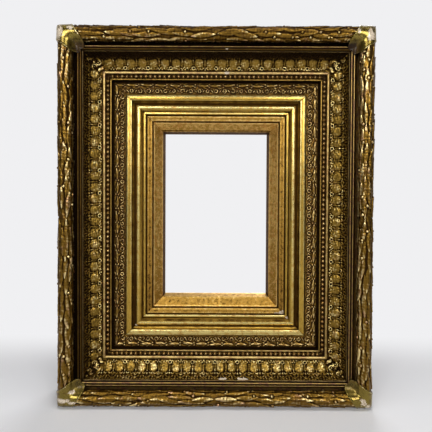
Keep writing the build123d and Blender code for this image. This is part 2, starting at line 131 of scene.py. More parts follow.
gildingBase = {
    "leaf": "#A8833A",    # gold leaf as toning leaves it
    "rubbed": "#E6CE8E",  # crests, where handling has cleaned it, and painted highlights
    "rose": "#C09878",    # crests where clay shows through
    "bole": "#7A4A26",    # red clay under thin leaf
    "grime": "#2E1E0C",   # umber and dust in the hollows, and painted shade
    "gesso": "#D6C6AE",   # chips down to the ground
    "soiled": "#8E7654",  # the same, handled
    "grimeFrom": 0.22, "grimeTo": 0.56,  # on the cavity map, 0 hollow to 1 crest
    "rubFrom": 0.62, "rubTo": 0.95,
    "chipFrom": 0.46, "chipTo": 0.58,    # on the chip map, 0 whole to 1 bare
    "boleFrom": 0.52, "boleTo": 0.70,    # on the mottle
    "roseFrom": 0.50, "roseTo": 0.62,    # on the hue
    "mottleSize": 9.0, "mottleAmount": 0.35,  # mm, clouds of thin and of thick leaf
    "fineSize": 1.4, "fineAmount": 0.22,      # mm, worn specks
    "hueSize": 5.0,                           # mm, drifts from gold to rose
    "leafMetal": 0.97, "leafRoughness": 0.36, "grimeRoughness": 0.62,
    "varnish": 0.0, "varnishRoughness": 0.22,  # old shellac over the leaf
    "bumpStrength": 0.5, "bumpDepth": 0.16,    # mm deep
}


def gilding(name, **changes):
    # water gilding on carved gesso: a warm mirror on the crests, broken by thin leaf and dull toning; the
    # grime colour on low cavity values is toning and painted shade, the rubbed colour on high ones is wear and
    # painted highlights
    finish = {**gildingBase, **changes}
    material, tree, shader, place = newMaterial(name)
    mottle, fine, hue = (
        addNode(tree, "TexNoise", {"Vector": place, "Scale": 1 / (finish[size] * mm), "Detail": detail})
        for size, detail in (("mottleSize", 4.0), ("fineSize", 3.0), ("hueSize", 2.0))
    )
    blotch, grain = (
        addNode(tree, "Math", {0: pattern, 1: amount, 2: -amount / 2}, operation="MULTIPLY_ADD")
        for pattern, amount in ((mottle, finish["mottleAmount"]), (fine, finish["fineAmount"]))
    )
    maps = []
    for attribute in ("cavity", "chip"):
        level = addNode(tree, "Attribute", output="Fac", attribute_name=attribute)
        for pattern in (blotch, grain):
            level = addNode(tree, "Math", {0: level, 1: pattern}, operation="ADD")
        maps.append(level)
    level, ragged = maps
    thinness = addNode(tree, "Math", {0: mottle, 1: grain}, operation="ADD")
    cleanAndLit, rub, chip, thin, rosy = (
        addNode(tree, "MapRange", {
            "Value": value, "From Min": finish[f"{key}From"], "From Max": finish[f"{key}To"],
        }, interpolation_type=curve)
        for key, value, curve in (
            ("grime", level, "SMOOTHSTEP"), ("rub", level, "SMOOTHSTEP"), ("chip", ragged, "SMOOTHSTEP"),
            ("bole", thinness, "LINEAR"), ("rose", hue, "LINEAR"),
        )
    )
    color, crest, ground = (
        addNode(tree, "Mix", {"Factor": share, 6: finish[first], 7: finish[second]}, 2, data_type="RGBA")
        for share, first, second in (
            (thin, "leaf", "bole"), (rosy, "rubbed", "rose"), (thin, "gesso", "soiled"),
        )
    )
    color = addNode(tree, "Mix", {"Factor": rub, 6: color, 7: crest}, 2, data_type="RGBA")
    color = addNode(tree, "Mix", {"Factor": cleanAndLit, 6: finish["grime"], 7: color}, 2, data_type="RGBA")
    color = addNode(tree, "Mix", {"Factor": chip, 6: color, 7: ground}, 2, data_type="RGBA")
    dull = addNode(tree, "MapRange", {
        "Value": cleanAndLit, "To Min": finish["grimeRoughness"], "To Max": finish["leafRoughness"],
    })
    fillInputs(tree, shader, {
        "Base Color": color,
        "Metallic": addNode(tree, "MapRange", {"Value": chip, "To Min": finish["leafMetal"], "To Max": 0.0}),
        "Roughness": addNode(tree, "Math", {0: grain, 1: dull}, operation="ADD"),
        "Coat Weight": finish["varnish"], "Coat Roughness": finish["varnishRoughness"],
        "Normal": addNode(tree, "Bump", {
            "Height": fine, "Strength": finish["bumpStrength"], "Distance": finish["bumpDepth"] * mm,
        }),
    })
    return material


pineLook = {
    "early": "#96744A", "late": "#775836", "stain": "#4A3620", "fiber": "#3A2814",
    "ringGap": 1.7, "fiberGap": 0.35, "stainSize": 60,  # mm
    "stretch": 45,                                      # how much longer than wide the figure is
    "lateFrom": 0.42, "lateTo": 0.62, "stainFrom": 0.35, "stainTo": 0.7,
    "stainAmount": 0.55, "fiberAmount": 0.35,
    "roughness": (0.68, 0.9), "bump": (0.6, 0.12),      # smooth to rough; strength and mm
}


def pine(name, grainAxis):
    # old raw softwood, planed: dull brown, with darker late wood along the board
    look = pineLook
    material, tree, shader, place = newMaterial(name)
    squeeze = [1 / look["stretch"] if axis == grainAxis else 1 for axis in "XYZ"]
    laid = addNode(tree, "Mapping", {"Vector": place, "Scale": squeeze})
    rings = addNode(tree, "TexNoise", {
        "Vector": laid, "Scale": 1 / (2 * look["ringGap"] * mm), "Detail": 2.0, "Distortion": 0.3,
    })
    fibers = addNode(tree, "TexNoise", {
        "Vector": laid, "Scale": 1 / (2 * look["fiberGap"] * mm), "Detail": 2.0,
    })
    stain = addNode(tree, "TexNoise", {"Vector": place, "Scale": 1 / (look["stainSize"] * mm), "Detail": 3.0})
    late, aged = (
        addNode(tree, "MapRange", {
            "Value": pattern, "From Min": look[f"{key}From"], "From Max": look[f"{key}To"], "To Max": amount,
        })
        for pattern, key, amount in ((rings, "late", 1.0), (stain, "stain", look["stainAmount"]))
    )
    threads = addNode(tree, "Math", {0: fibers, 1: look["fiberAmount"]}, operation="MULTIPLY")
    color = look["early"]
    for share, over in ((late, "late"), (aged, "stain"), (threads, "fiber")):
        color = addNode(tree, "Mix", {"Factor": share, 6: color, 7: look[over]}, 2, data_type="RGBA")
    smooth, rough = look["roughness"]
    strength, depth = look["bump"]
    fillInputs(tree, shader, {
        "Base Color": color,
        "Roughness": addNode(tree, "MapRange", {"Value": fibers, "To Min": smooth, "To Max": rough}),
        "Normal": addNode(tree, "Bump", {"Height": fibers, "Strength": strength, "Distance": depth * mm}),
    })
    return material


washLook = {
    "bare": "#7A5A2A", "dirty": "#3C2A14", "rubbed": "#8F6B38", "cloudSize": 34, "rubSize": 2.2,  # mm
    "dirtFrom": 0.36, "dirtTo": 0.66, "rubFrom": 0.6, "rubTo": 0.72,
    "roughness": (0.48, 0.72), "bump": (0.5, 0.1),  # smooth to rough; strength and mm
}


def ochreWash(name):
    # the board's outer side: yellow ochre size, never gilded, darkened by handling
    look = washLook
    material, tree, shader, place = newMaterial(name)
    cloud = addNode(tree, "TexNoise", {
        "Vector": place, "Scale": 1 / (look["cloudSize"] * mm), "Detail": 5.0, "Roughness": 0.62,
    })
    rubs = addNode(tree, "TexNoise", {"Vector": place, "Scale": 1 / (look["rubSize"] * mm), "Detail": 3.0})
    color = look["bare"]
    for pattern, key, over in ((cloud, "dirt", "dirty"), (rubs, "rub", "rubbed")):
        share = addNode(tree, "MapRange", {
            "Value": pattern, "From Min": look[f"{key}From"], "From Max": look[f"{key}To"],
        })
        color = addNode(tree, "Mix", {"Factor": share, 6: color, 7: look[over]}, 2, data_type="RGBA")
    smooth, rough = look["roughness"]
    strength, depth = look["bump"]
    fillInputs(tree, shader, {
        "Base Color": color,
        "Roughness": addNode(tree, "MapRange", {"Value": cloud, "To Min": smooth, "To Max": rough}),
        "Normal": addNode(tree, "Bump", {"Height": rubs, "Strength": strength, "Distance": depth * mm}),
    })
    return material


metalLook = {
    "cloudSize": 5, "spotSize": 0.9,  # mm
    "dullFrom": 0.3, "dullTo": 0.74, "pitFrom": 0.60, "pitTo": 0.70, "pitAmount": 0.7, "pitMetal": 0.4,
    "dullRoughness": 0.22, "bump": (0.4, 0.05),  # strength and mm
}


def tarnishedMetal(name, bright, dark, rust, roughness):
    # plain hardware metal: drawn or pressed, then dulled by air and fingers
    look = metalLook
    material, tree, shader, place = newMaterial(name)
    cloud, spots = (
        addNode(tree, "TexNoise", {"Vector": place, "Scale": 1 / (look[size] * mm), "Detail": detail})
        for size, detail in (("cloudSize", 5.0), ("spotSize", 3.0))
    )
    dulled, pitted = (
        addNode(tree, "MapRange", {
            "Value": pattern, "From Min": look[f"{key}From"], "From Max": look[f"{key}To"],
        })
        for pattern, key in ((cloud, "dull"), (spots, "pit"))
    )
    pits = addNode(tree, "Math", {0: pitted, 1: look["pitAmount"]}, operation="MULTIPLY")
    color = addNode(tree, "Mix", {"Factor": dulled, 6: bright, 7: dark}, 2, data_type="RGBA")
    strength, depth = look["bump"]
    fillInputs(tree, shader, {
        "Base Color": addNode(tree, "Mix", {"Factor": pits, 6: color, 7: rust}, 2, data_type="RGBA"),
        "Metallic": addNode(tree, "MapRange", {"Value": pitted, "To Min": 1.0, "To Max": look["pitMetal"]}),
        "Roughness": addNode(tree, "MapRange", {
            "Value": dulled, "To Min": roughness, "To Max": roughness + look["dullRoughness"],
        }),
        "Normal": addNode(tree, "Bump", {"Height": spots, "Strength": strength, "Distance": depth * mm}),
    })
    return material


pineBySide = {side: pine(f"rawPine_{side}", "X" if side in ("bottom", "top") else "Z") for side in rails}
boardWash = ochreWash("ochreSizedBoard")
print("materials ready")


# Outlines

def arcPoints(start, middle, end, count):
    # points on the circle through three places, the first and the last among them
    (ax, ay), (bx, by), (cx, cy) = start, middle, end
    turn = 2 * (ax * (by - cy) + bx * (cy - ay) + cx * (ay - by))
    squares = [x * x + y * y for x, y in (start, middle, end)]
    x0 = (squares[0] * (by - cy) + squares[1] * (cy - ay) + squares[2] * (ay - by)) / turn
    y0 = (squares[0] * (cx - bx) + squares[1] * (ax - cx) + squares[2] * (bx - ax)) / turn
    radius = math.hypot(ax - x0, ay - y0)
    angles = [math.atan2(y - y0, x - x0) for x, y in (start, middle, end)]
    spread = (angles[2] - angles[0]) % (2 * math.pi)
    if (angles[1] - angles[0]) % (2 * math.pi) > spread:
        spread -= 2 * math.pi
    steps = [angles[0] + spread * i / (count - 1) for i in range(count)]
    return [(x0 + radius * math.cos(a), y0 + radius * math.sin(a)) for a in steps]


def squareSteps(inset, levels):
    # from an inset, each level runs to its own inset at its own height
    points = []
    for reach, height in levels:
        points += [(inset, height), (reach, height)]
        inset = reach
    return points


def tagged(points, tag):
    # says what a stretch of an outline is finished with
    return [(x, y, tag) for x, y in points]


def softened(outline, radius, steps=3, sharp=24, most=0.45):
    # rounds every sharp corner of a closed outline a little, as gesso does; tags stay with their points
    result = []
    for index, (x, y, tag) in enumerate(outline):
        before = np.array(outline[index - 1][:2])
        after = np.array(outline[(index + 1) % len(outline)][:2])
        corner = np.array((x, y))
        into, out = corner - before, after - corner
        lengthIn, lengthOut = np.linalg.norm(into), np.linalg.norm(out)
        bend = abs(math.atan2(into[0] * out[1] - into[1] * out[0], float(into @ out)))
        if bend < math.radians(sharp):
            result.append((x, y, tag))
            continue
        cut = min(radius, lengthIn * most, lengthOut * most)
        first, last = corner - into / lengthIn * cut, corner + out / lengthOut * cut
        for step in range(steps + 1):
            share = step / steps
            spot = first * (1 - share) ** 2 + corner * 2 * share * (1 - share) + last * share ** 2
            result.append((spot[0], spot[1], tag))
    return result


def resampled(outline, spacing, coarser=8):
    # adds points on long stretches, so that waves and wear have somewhere to show
    result = []
    for index, (x, y, tag) in enumerate(outline):
        nx, ny, _ = outline[(index + 1) % len(outline)]
        gap = spacing if tag in ("gilt", "matte") else spacing * coarser
        pieces = max(1, math.ceil(math.hypot(nx - x, ny - y) / gap))
        for piece in range(pieces):
            share = piece / pieces
            result.append((x + (nx - x) * share, y + (ny - y) * share, tag))
    return result


def crestOfOutline(points, reach):
    # how far each point stands out from its neighbours along the outline, below 0 in a hollow
    closed = np.vstack((points, points[:1]))
    girth = np.concatenate(([0], np.cumsum(np.linalg.norm(np.diff(closed, axis=0), axis=1))))
    total = girth[-1]
    crest = np.zeros(len(points))
    for index in range(len(points)):
        around = [
            [np.interp((girth[index] + offset) % total, girth, closed[:, axis]) for axis in (0, 1)]
            for offset in (-reach, -reach / 2, reach / 2, reach)
        ]
        tangent = np.array(around[3]) - np.array(around[0])
        normal = np.array((-tangent[1], tangent[0])) / (np.linalg.norm(tangent) + 1e-9)
        crest[index] = float((points[index] - np.mean(around, axis=0)) @ normal)
    return crest


# Meshes

def addMaps(mesh, **maps):
    # what the gilding reads at each point: the cavity, which also carries painted light and shade, and the
    # chips
    for name, values in maps.items():
        layer = mesh.attributes.new(name, "FLOAT", "POINT")
        layer.data.foreach_set("value", np.asarray(values, np.float32).ravel())


def dressNode(mesh, node):
    # the mesh takes the place of one node; none of the gilded pieces moves
    mesh.shade_smooth()
    piece = addObject(mesh.name, mesh)
    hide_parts(node)
    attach(piece, "root")


def sweepMesh(name, side, run, inset, height, tags, materials, cavity, chip):
    # closed skin through sections of the same number of points, capped at both mitres
    sections, girth = run.shape
    spots = railPoints(side, run, inset, height).reshape(-1, 3)
    mesh = bpy.data.meshes.new(name)
    grid = np.arange(sections * girth).reshape(sections, girth)
    turned = np.roll(grid, -1, axis=1)
    quads = np.stack((grid[:-1], grid[1:], turned[1:], turned[:-1]), axis=-1).reshape(-1, 4)
    corners = np.concatenate((quads.ravel(), grid[0], grid[-1][::-1])).astype(np.int32)
    sizes = np.concatenate((np.full(len(quads), 4), [girth, girth])).astype(np.int32)
    mesh.vertices.add(len(spots))
    mesh.vertices.foreach_set("co", spots.astype(np.float32).ravel())
    mesh.loops.add(len(corners))
    mesh.loops.foreach_set("vertex_index", corners)
    mesh.polygons.add(len(sizes))
    mesh.polygons.foreach_set("loop_start", np.concatenate(([0], np.cumsum(sizes)[:-1])).astype(np.int32))
    order = list(materials)
    for key in order:
        mesh.materials.append(materials[key])
    byPoint = np.array([order.index(tag) for tag in tags], np.int32)
    indices = np.concatenate((np.tile(byPoint, sections - 1), [0, 0])).astype(np.int32)
    mesh.polygons.foreach_set("material_index", indices)
    mesh.update(calc_edges=True)
    mesh.validate()
    addMaps(mesh, cavity=cavity, chip=chip)
    return mesh


def waves(run, seed, height, shortest, octaves=4, growth=1.9):
    # slow hand-made unevenness along a rail: a few seeded sines
    draw = np.random.default_rng(seed)
    total = np.zeros_like(run)
    for octave in range(octaves):
        length = shortest * growth ** octave
        total += np.sin(run / length * 2 * math.pi + draw.uniform(0, 2 * math.pi)) * draw.uniform(0.5, 1)
    return total * height / octaves


chipEdge = {"rail": (1.6, 1.4), "cove": (1.0, 0.48), "leaf": (0.64, 0.13)}  # at the middle, and the fall


def chipMap(across, down, spots, piece):
    # where gesso shows: each spot has a middle and two radii in mm
    middleLevel, fall = chipEdge[piece]
    bare = np.zeros_like(across)
    for spotAcross, spotDown, radiusAcross, radiusDown in spots:
        away = ((across - spotAcross) / radiusAcross) ** 2 + ((down - spotDown) / radiusDown) ** 2
        bare = np.maximum(bare, np.clip(middleLevel - fall * away, 0, 1))
    return bare


unevenness = {"swayLength": 34, "patchLength": 9, "patchAmount": 0.07, "leastCavity": 0.15}


def moldings(settings, outline, materials):
    # four straight rails of one section, mitred at both ends; a row of toning and painted light holds two
    # insets, then how much the gold between them is lightened or darkened on the bottom, top, left and right
    # rails, as toning and as painted light and shade
    outline = resampled(softened(outline, settings["arris"]), settings["grid"])
    points = np.array([(x, y) for x, y, tag in outline])
    tags = [tag for x, y, tag in outline]
    isGilt = np.array([tag in ("gilt", "matte") for tag in tags], float)
    crest = crestOfOutline(points, settings["crestReach"])
    # the least cavity keeps the deepest hollows off zero, so that painted light in the rows below can still
    # lighten them
    crest = np.clip(settings["crestBase"] + crest * settings["crestGain"], unevenness["leastCavity"], 1)
    for number, side in enumerate(rails):
        half = rails[side]["half"]
        cavity = crest
        for zoneFrom, zoneTo, *amounts in settings["toningAndLight"]:
            between = (points[:, 0] > zoneFrom) & (points[:, 0] < zoneTo)
            cavity = cavity * np.where(between, amounts[number], 1)
        sections = round(2 * half / settings["sectionGap"]) + 1
        inset = np.repeat(points[None, :, 0], sections, axis=0)
        height = np.repeat(points[None, :, 1], sections, axis=0)
        run = np.linspace(-1, 1, sections)[:, None] * (half - inset)
        seed = railSeed(settings, side)
        height = height + isGilt * waves(run[:, :1], seed, settings["waviness"], unevenness["swayLength"])
        bare = chipMap(run, inset, settings["chips"].get(side, ()), "rail") * isGilt
        height = height - bare * settings["chipDepth"]
        fall = np.clip(-run * rails[side]["along"][2] / half, 0, 1)  # painted shade: darker towards the foot of an upright
        patches = waves(run, settings["seed"] + 7, unevenness["patchAmount"], unevenness["patchLength"])
        cavity = cavity * (1 - settings["footShade"] * fall) + patches
        mesh = sweepMesh(
            f"{settings['piece']}_{side}", side, run, inset, height, tags,
            {**materials, "wood": pineBySide[side]}, cavity, bare,
        )
        dressNode(mesh, f"{settings['node']}_{side}")


# Outer rail: board, bed of the garland, hollow and the two fillets

outerRail = {
    "piece": "gilded_board", "slot": "board_gilt", "node": "outer_rail", "seed": 11,
    "arris": 0.45, "grid": 1.3, "sectionGap": 1.6, "waviness": 0.16, "chipDepth": 0.3, "footShade": 0.0,
    "crestReach": 1.6, "crestBase": 0.36, "crestGain": 1.5,
    "width": 28.8, "sideTop": 62.6, "bedTop": 64.0, "quirk": 1.4, "hollowRise": 3.5, "thinFrom": 23.9,
    "steps": ((25.1, 70.8), (27.1, 69.2)),  # thin fillet, groove
    "sightFillet": (71.0, 72.0),            # its sides and its crown
    # rows of toning and painted light and shade: the hollow behind the garland lightened on the bottom and
    # right rails, the fillets lighter on the bottom and darker on the top and left
    "toningAndLight": [
        (16.0, 25.1, 3.2, 1.0, 0.8, 2.8), (25.2, 26.9, 1.4, 0.4, 0.3, 0.7),
        (27.2, 28.7, 2.8, 0.62, 0.7, 1.5), (28.75, 28.9, 0.2, 0.2, 0.2, 0.2),
    ],
    "chips": {"top": [(12.6, 27.3, 1.9, 1.3)]},
}


def outerRailOutline():
    size = outerRail
    bedTop, rise, thinFrom, width = size["bedTop"], size["hollowRise"], size["thinFrom"], size["width"]
    foot, top, bend = thinFrom - rise, bedTop + rise, rise * math.sqrt(0.5)
    hollow = arcPoints((foot, bedTop), (foot + bend, top - bend), (thinFrom, top), 7)
    low, high = size["sightFillet"]
    grooveTo = size["steps"][-1][0]
    fillet = arcPoints((grooveTo, low), ((grooveTo + width) / 2, high), (width, low), 6)
    front = [(0, size["sideTop"]), (size["quirk"], bedTop), *hollow]
    front += squareSteps(thinFrom, size["steps"]) + fillet
    return [(0, 0, "wash")] + tagged(front, "gilt") + tagged([(width, bedTop), (width, 0)], "wood")


# matt leaf deep under brown toning, darkened further as painted shade from the garland: dark, with little
# shine
boardGilt = gilding(
    "tonedShadedGiltBoard", leaf="#5A4218", rubbed="#9A7E48", rose="#846248", bole="#40280E", grime="#22150A",
    grimeFrom=0.3, grimeTo=0.8, rubFrom=0.74, rubTo=1.15, leafRoughness=0.38,
)
moldings(outerRail, outerRailOutline(), {"gilt": boardGilt, "wash": boardWash})
print("outer rails ready")


# Scoop rail: cove, half-round, bead channel, inner fillet and the bed of the band

scoopRail = {
    "piece": "gilded_scoop", "slot": "scoop_gilt", "node": "scoop_rail", "seed": 23,
    "arris": 0.4, "grid": 1.2, "sectionGap": 1.6, "waviness": 0.14, "chipDepth": 0.35, "footShade": 0.0,
    "crestReach": 1.8, "crestBase": 0.40, "crestGain": 1.6,
    "coveStart": (29.2, 66.7), "coveRadius": 18.5, "halfRound": 3.5, "channelFrom": 51.2,
    "steps": ((56.7, 46.5), (58.3, 48.0), (60.3, 40.0), (74.8, 41.5), (75.7, 43.2)),  # channel to sight lip
    "backSteps": ((71.0, 36.0), (60.3, 0.6), (28.8, 6.0)),                            # rabbet, heel, back
    # rows of toning and painted light and shade: the half-round lighter on the top rail and darker on the
    # right, the bead channel lightened, the inner fillet darker, most on the top, and the sight lip darker
    "toningAndLight": [
        (47.9, 51.1, 0.96, 1.2, 0.96, 0.9), (51.2, 56.5, 1.5, 1.2, 1.2, 1.2),
        (56.5, 58.4, 0.9, 0.6, 0.7, 0.7), (58.4, 60.6, 0.5, 0.5, 0.5, 0.5), (74.5, 76.0, 0.5, 0.7, 0.3, 0.4),
    ],
    "chips": {"top": [(12.8, 49.4, 3.4, 2.0)]},
}
coveCenter = (scoopRail["coveStart"][0] + scoopRail["coveRadius"], scoopRail["coveStart"][1])


def scoopRailOutline():
    size = scoopRail
    middle, floor = coveCenter[0], coveCenter[1] - size["coveRadius"]
    bend = size["coveRadius"] * math.sqrt(0.5)
    cove = arcPoints(size["coveStart"], (middle - bend, coveCenter[1] - bend), (middle, floor), 18)
    radius = size["halfRound"] / 2
    bulge = arcPoints((middle, floor), (middle + radius, floor + radius), (size["channelFrom"], floor), 11)
    front = cove + bulge[1:] + squareSteps(size["channelFrom"], size["steps"])
    back = squareSteps(size["steps"][-1][0], size["backSteps"])
    back.append((size["backSteps"][-1][0], size["coveStart"][1]))
    return tagged(front, "gilt") + tagged(back, "wood")


# burnished leaf that hands have cleaned: the half-round catches long even lights
scoopGilt = gilding(
    "burnishedGiltScoop", leaf="#866A30", rubbed="#CCB070", rose="#B08C60", bole="#6A4A22",
    grimeFrom=0.36, grimeTo=0.66, rubFrom=0.74, rubTo=1.05, leafRoughness=0.4,
)
moldings(scoopRail, scoopRailOutline(), {"gilt": scoopGilt})
print("scoop rails ready")


# Liner: burnished flat, cove, round, fillet, second flat, slope and sight edge

liner = {
    "piece": "gilded_liner", "slot": "liner_gilt", "node": "liner_rail", "seed": 37,
    # the foot amount is painted shade, darkening the liner's uprights towards their feet
    "arris": 0.85, "grid": 0.9, "sectionGap": 1.6, "waviness": 0.22, "chipDepth": 0.3, "footShade": 0.42,
    "crestReach": 2.2, "crestBase": 0.60, "crestGain": 0.9,
    "flat": ((76.2, 45.5), (82.5, 45.5), 0.5),           # from, to and crown
    "cove": ((86.3, 38.9), 0.9),                         # to and sag
    "round": ((94.5, 37.6), 2.8),                        # to and crown
    "fillet": (98.3, 36.0), "filletArris": (0.7, 0.5), "groove": (99.9, 32.4),
    "secondFlat": ((99.9, 34.2), (105.9, 33.0)), "secondGroove": ((105.9, 29.2), (107.6, 29.2)),
    "slope": ((107.6, 31.0), (117.5, 21.0), (120.1, 12.0)),
    "backSteps": ((113.6, 10.0), (71.3, 3.0), (76.2, 36.0)),  # rabbet for the picture, back, lip
    # rows of toning and painted light and shade: a painted highlight along the middle of the round, strongest
    # on the bottom rail, painted shade on its inner half there, a lighter slope on the top and sides, and a
    # darker sight bevel except at the bottom
    "toningAndLight": [
        (76.3, 79.0, 1.15, 1.1, 1.0, 1.0), (79.0, 82.4, 1.3, 0.82, 0.95, 0.95),
        (82.4, 83.4, 1.7, 1.0, 1.0, 1.0), (83.4, 86.8, 1.2, 1.05, 1.1, 1.1),
        (86.8, 88.0, 1.8, 0.7, 0.8, 0.8), (88.0, 89.4, 1.9, 1.35, 1.15, 1.15),
        (89.4, 91.4, 1.2, 1.35, 1.1, 1.15), (91.4, 94.2, 0.4, 0.85, 0.7, 0.8),
        (94.2, 95.4, 0.6, 1.1, 0.6, 0.6), (95.4, 97.0, 1.1, 1.2, 0.85, 0.8),
        (97.0, 98.35, 1.1, 0.5, 0.8, 0.8), (98.4, 99.8, 0.9, 0.35, 0.35, 0.35),
        (99.95, 105.8, 0.82, 1.0, 0.72, 0.74), (106.0, 107.5, 0.9, 0.35, 0.35, 0.35),
        (107.7, 116.0, 1.0, 1.5, 1.5, 1.6), (116.0, 117.5, 1.0, 0.6, 1.4, 1.5),
        (117.8, 121, 1.0, 0.3, 0.3, 0.3),
    ],
    "chips": {
        "bottom": [
            (-84.2, 100.9, 4.8, 2.3), (-77.5, 100.4, 4.0, 0.9),
            (-90.5, 95.6, 2.2, 1.4), (99.0, 86.6, 1.4, 1.1),
        ],
        "right": [(122.2, 100.9, 3.0, 1.7), (129.0, 95.4, 1.8, 1.0)],
        "left": [(-137.5, 86.4, 1.2, 0.8)],
    },
}


def bowed(start, end, rise, count, sink=0.0):
    # an arc between two places whose middle stands out by the rise, or lies in by the sink
    middle = ((start[0] + end[0]) / 2 - sink, (start[1] + end[1]) / 2 + rise - sink)
    return arcPoints(start, middle, end, count)


def linerOutline():
    size = liner
    flatFrom, flatTo, crown = size["flat"]
    coveTo, sag = size["cove"]
    roundTo, roundCrown = size["round"]
    flat = bowed(flatFrom, flatTo, crown, 8)
    cove = bowed(flatTo, coveTo, 0.0, 9, sag)
    bulge = bowed(coveTo, roundTo, roundCrown, 9)
    (filletTo, filletTop), (grooveTo, grooveFloor) = size["fillet"], size["groove"]
    arrisWide, arrisDeep = size["filletArris"]
    front = flat + cove[1:] + bulge[1:] + [
        (roundTo[0], filletTop - arrisDeep), (roundTo[0] + arrisWide, filletTop), (filletTo, filletTop),
        (filletTo, grooveFloor), (grooveTo, grooveFloor),
    ]
    matte = [*size["secondFlat"], *size["secondGroove"], *size["slope"]]
    back = squareSteps(size["slope"][-1][0], size["backSteps"])
    return tagged(front, "gilt") + tagged(matte, "matte") + tagged(back, "wood")


# the best burnished leaf, hardly toned: a yellow mirror that clouds over in patches
linerGilt = gilding(
    "burnishedGiltLiner", leaf="#AE8C3C", rubbed="#DCC880", rose="#C4A05C", bole="#8C6E2E", grime="#442C0C",
    grimeFrom=0.30, grimeTo=0.54, rubFrom=0.70, rubTo=1.05, mottleSize=7.0, mottleAmount=0.22,
    fineSize=1.1, leafRoughness=0.3,
)
# matt leaf, left unburnished: orange yellow, grainy, with a soft broad sheen
linerMatte = gilding(
    "matteGiltLiner", leaf="#B8903E", rubbed="#E0BC70", rose="#CC9C54", bole="#7C5822", grime="#4C300E",
    grimeFrom=0.24, grimeTo=0.62, rubFrom=0.70, rubTo=1.05, mottleSize=3.6, mottleAmount=1.3,
    fineSize=1.1, fineAmount=1.1, boleFrom=0.3, boleTo=0.8, leafRoughness=0.44,
)
moldings(liner, linerOutline(), {"gilt": linerGilt, "matte": linerMatte})
print("liner ready")


# Relief maps for the ornament

cutting = {  # how leaves, rings and fans are cut; edges and tips in mm, the rest as shares
    "leafFullness": 0.75, "keelSlope": 3.0, "leafEdge": 0.45, "leafTip": 0.8, "edgeLevel": 0.35,
    "ringEnd": 0.6, "ringEndLevel": 0.25,
    "fanRound": 0.16, "fanScallop": 0.04, "fanSwell": 0.62, "fanEdge": 1.1, "fluteDepth": 0.26,
}


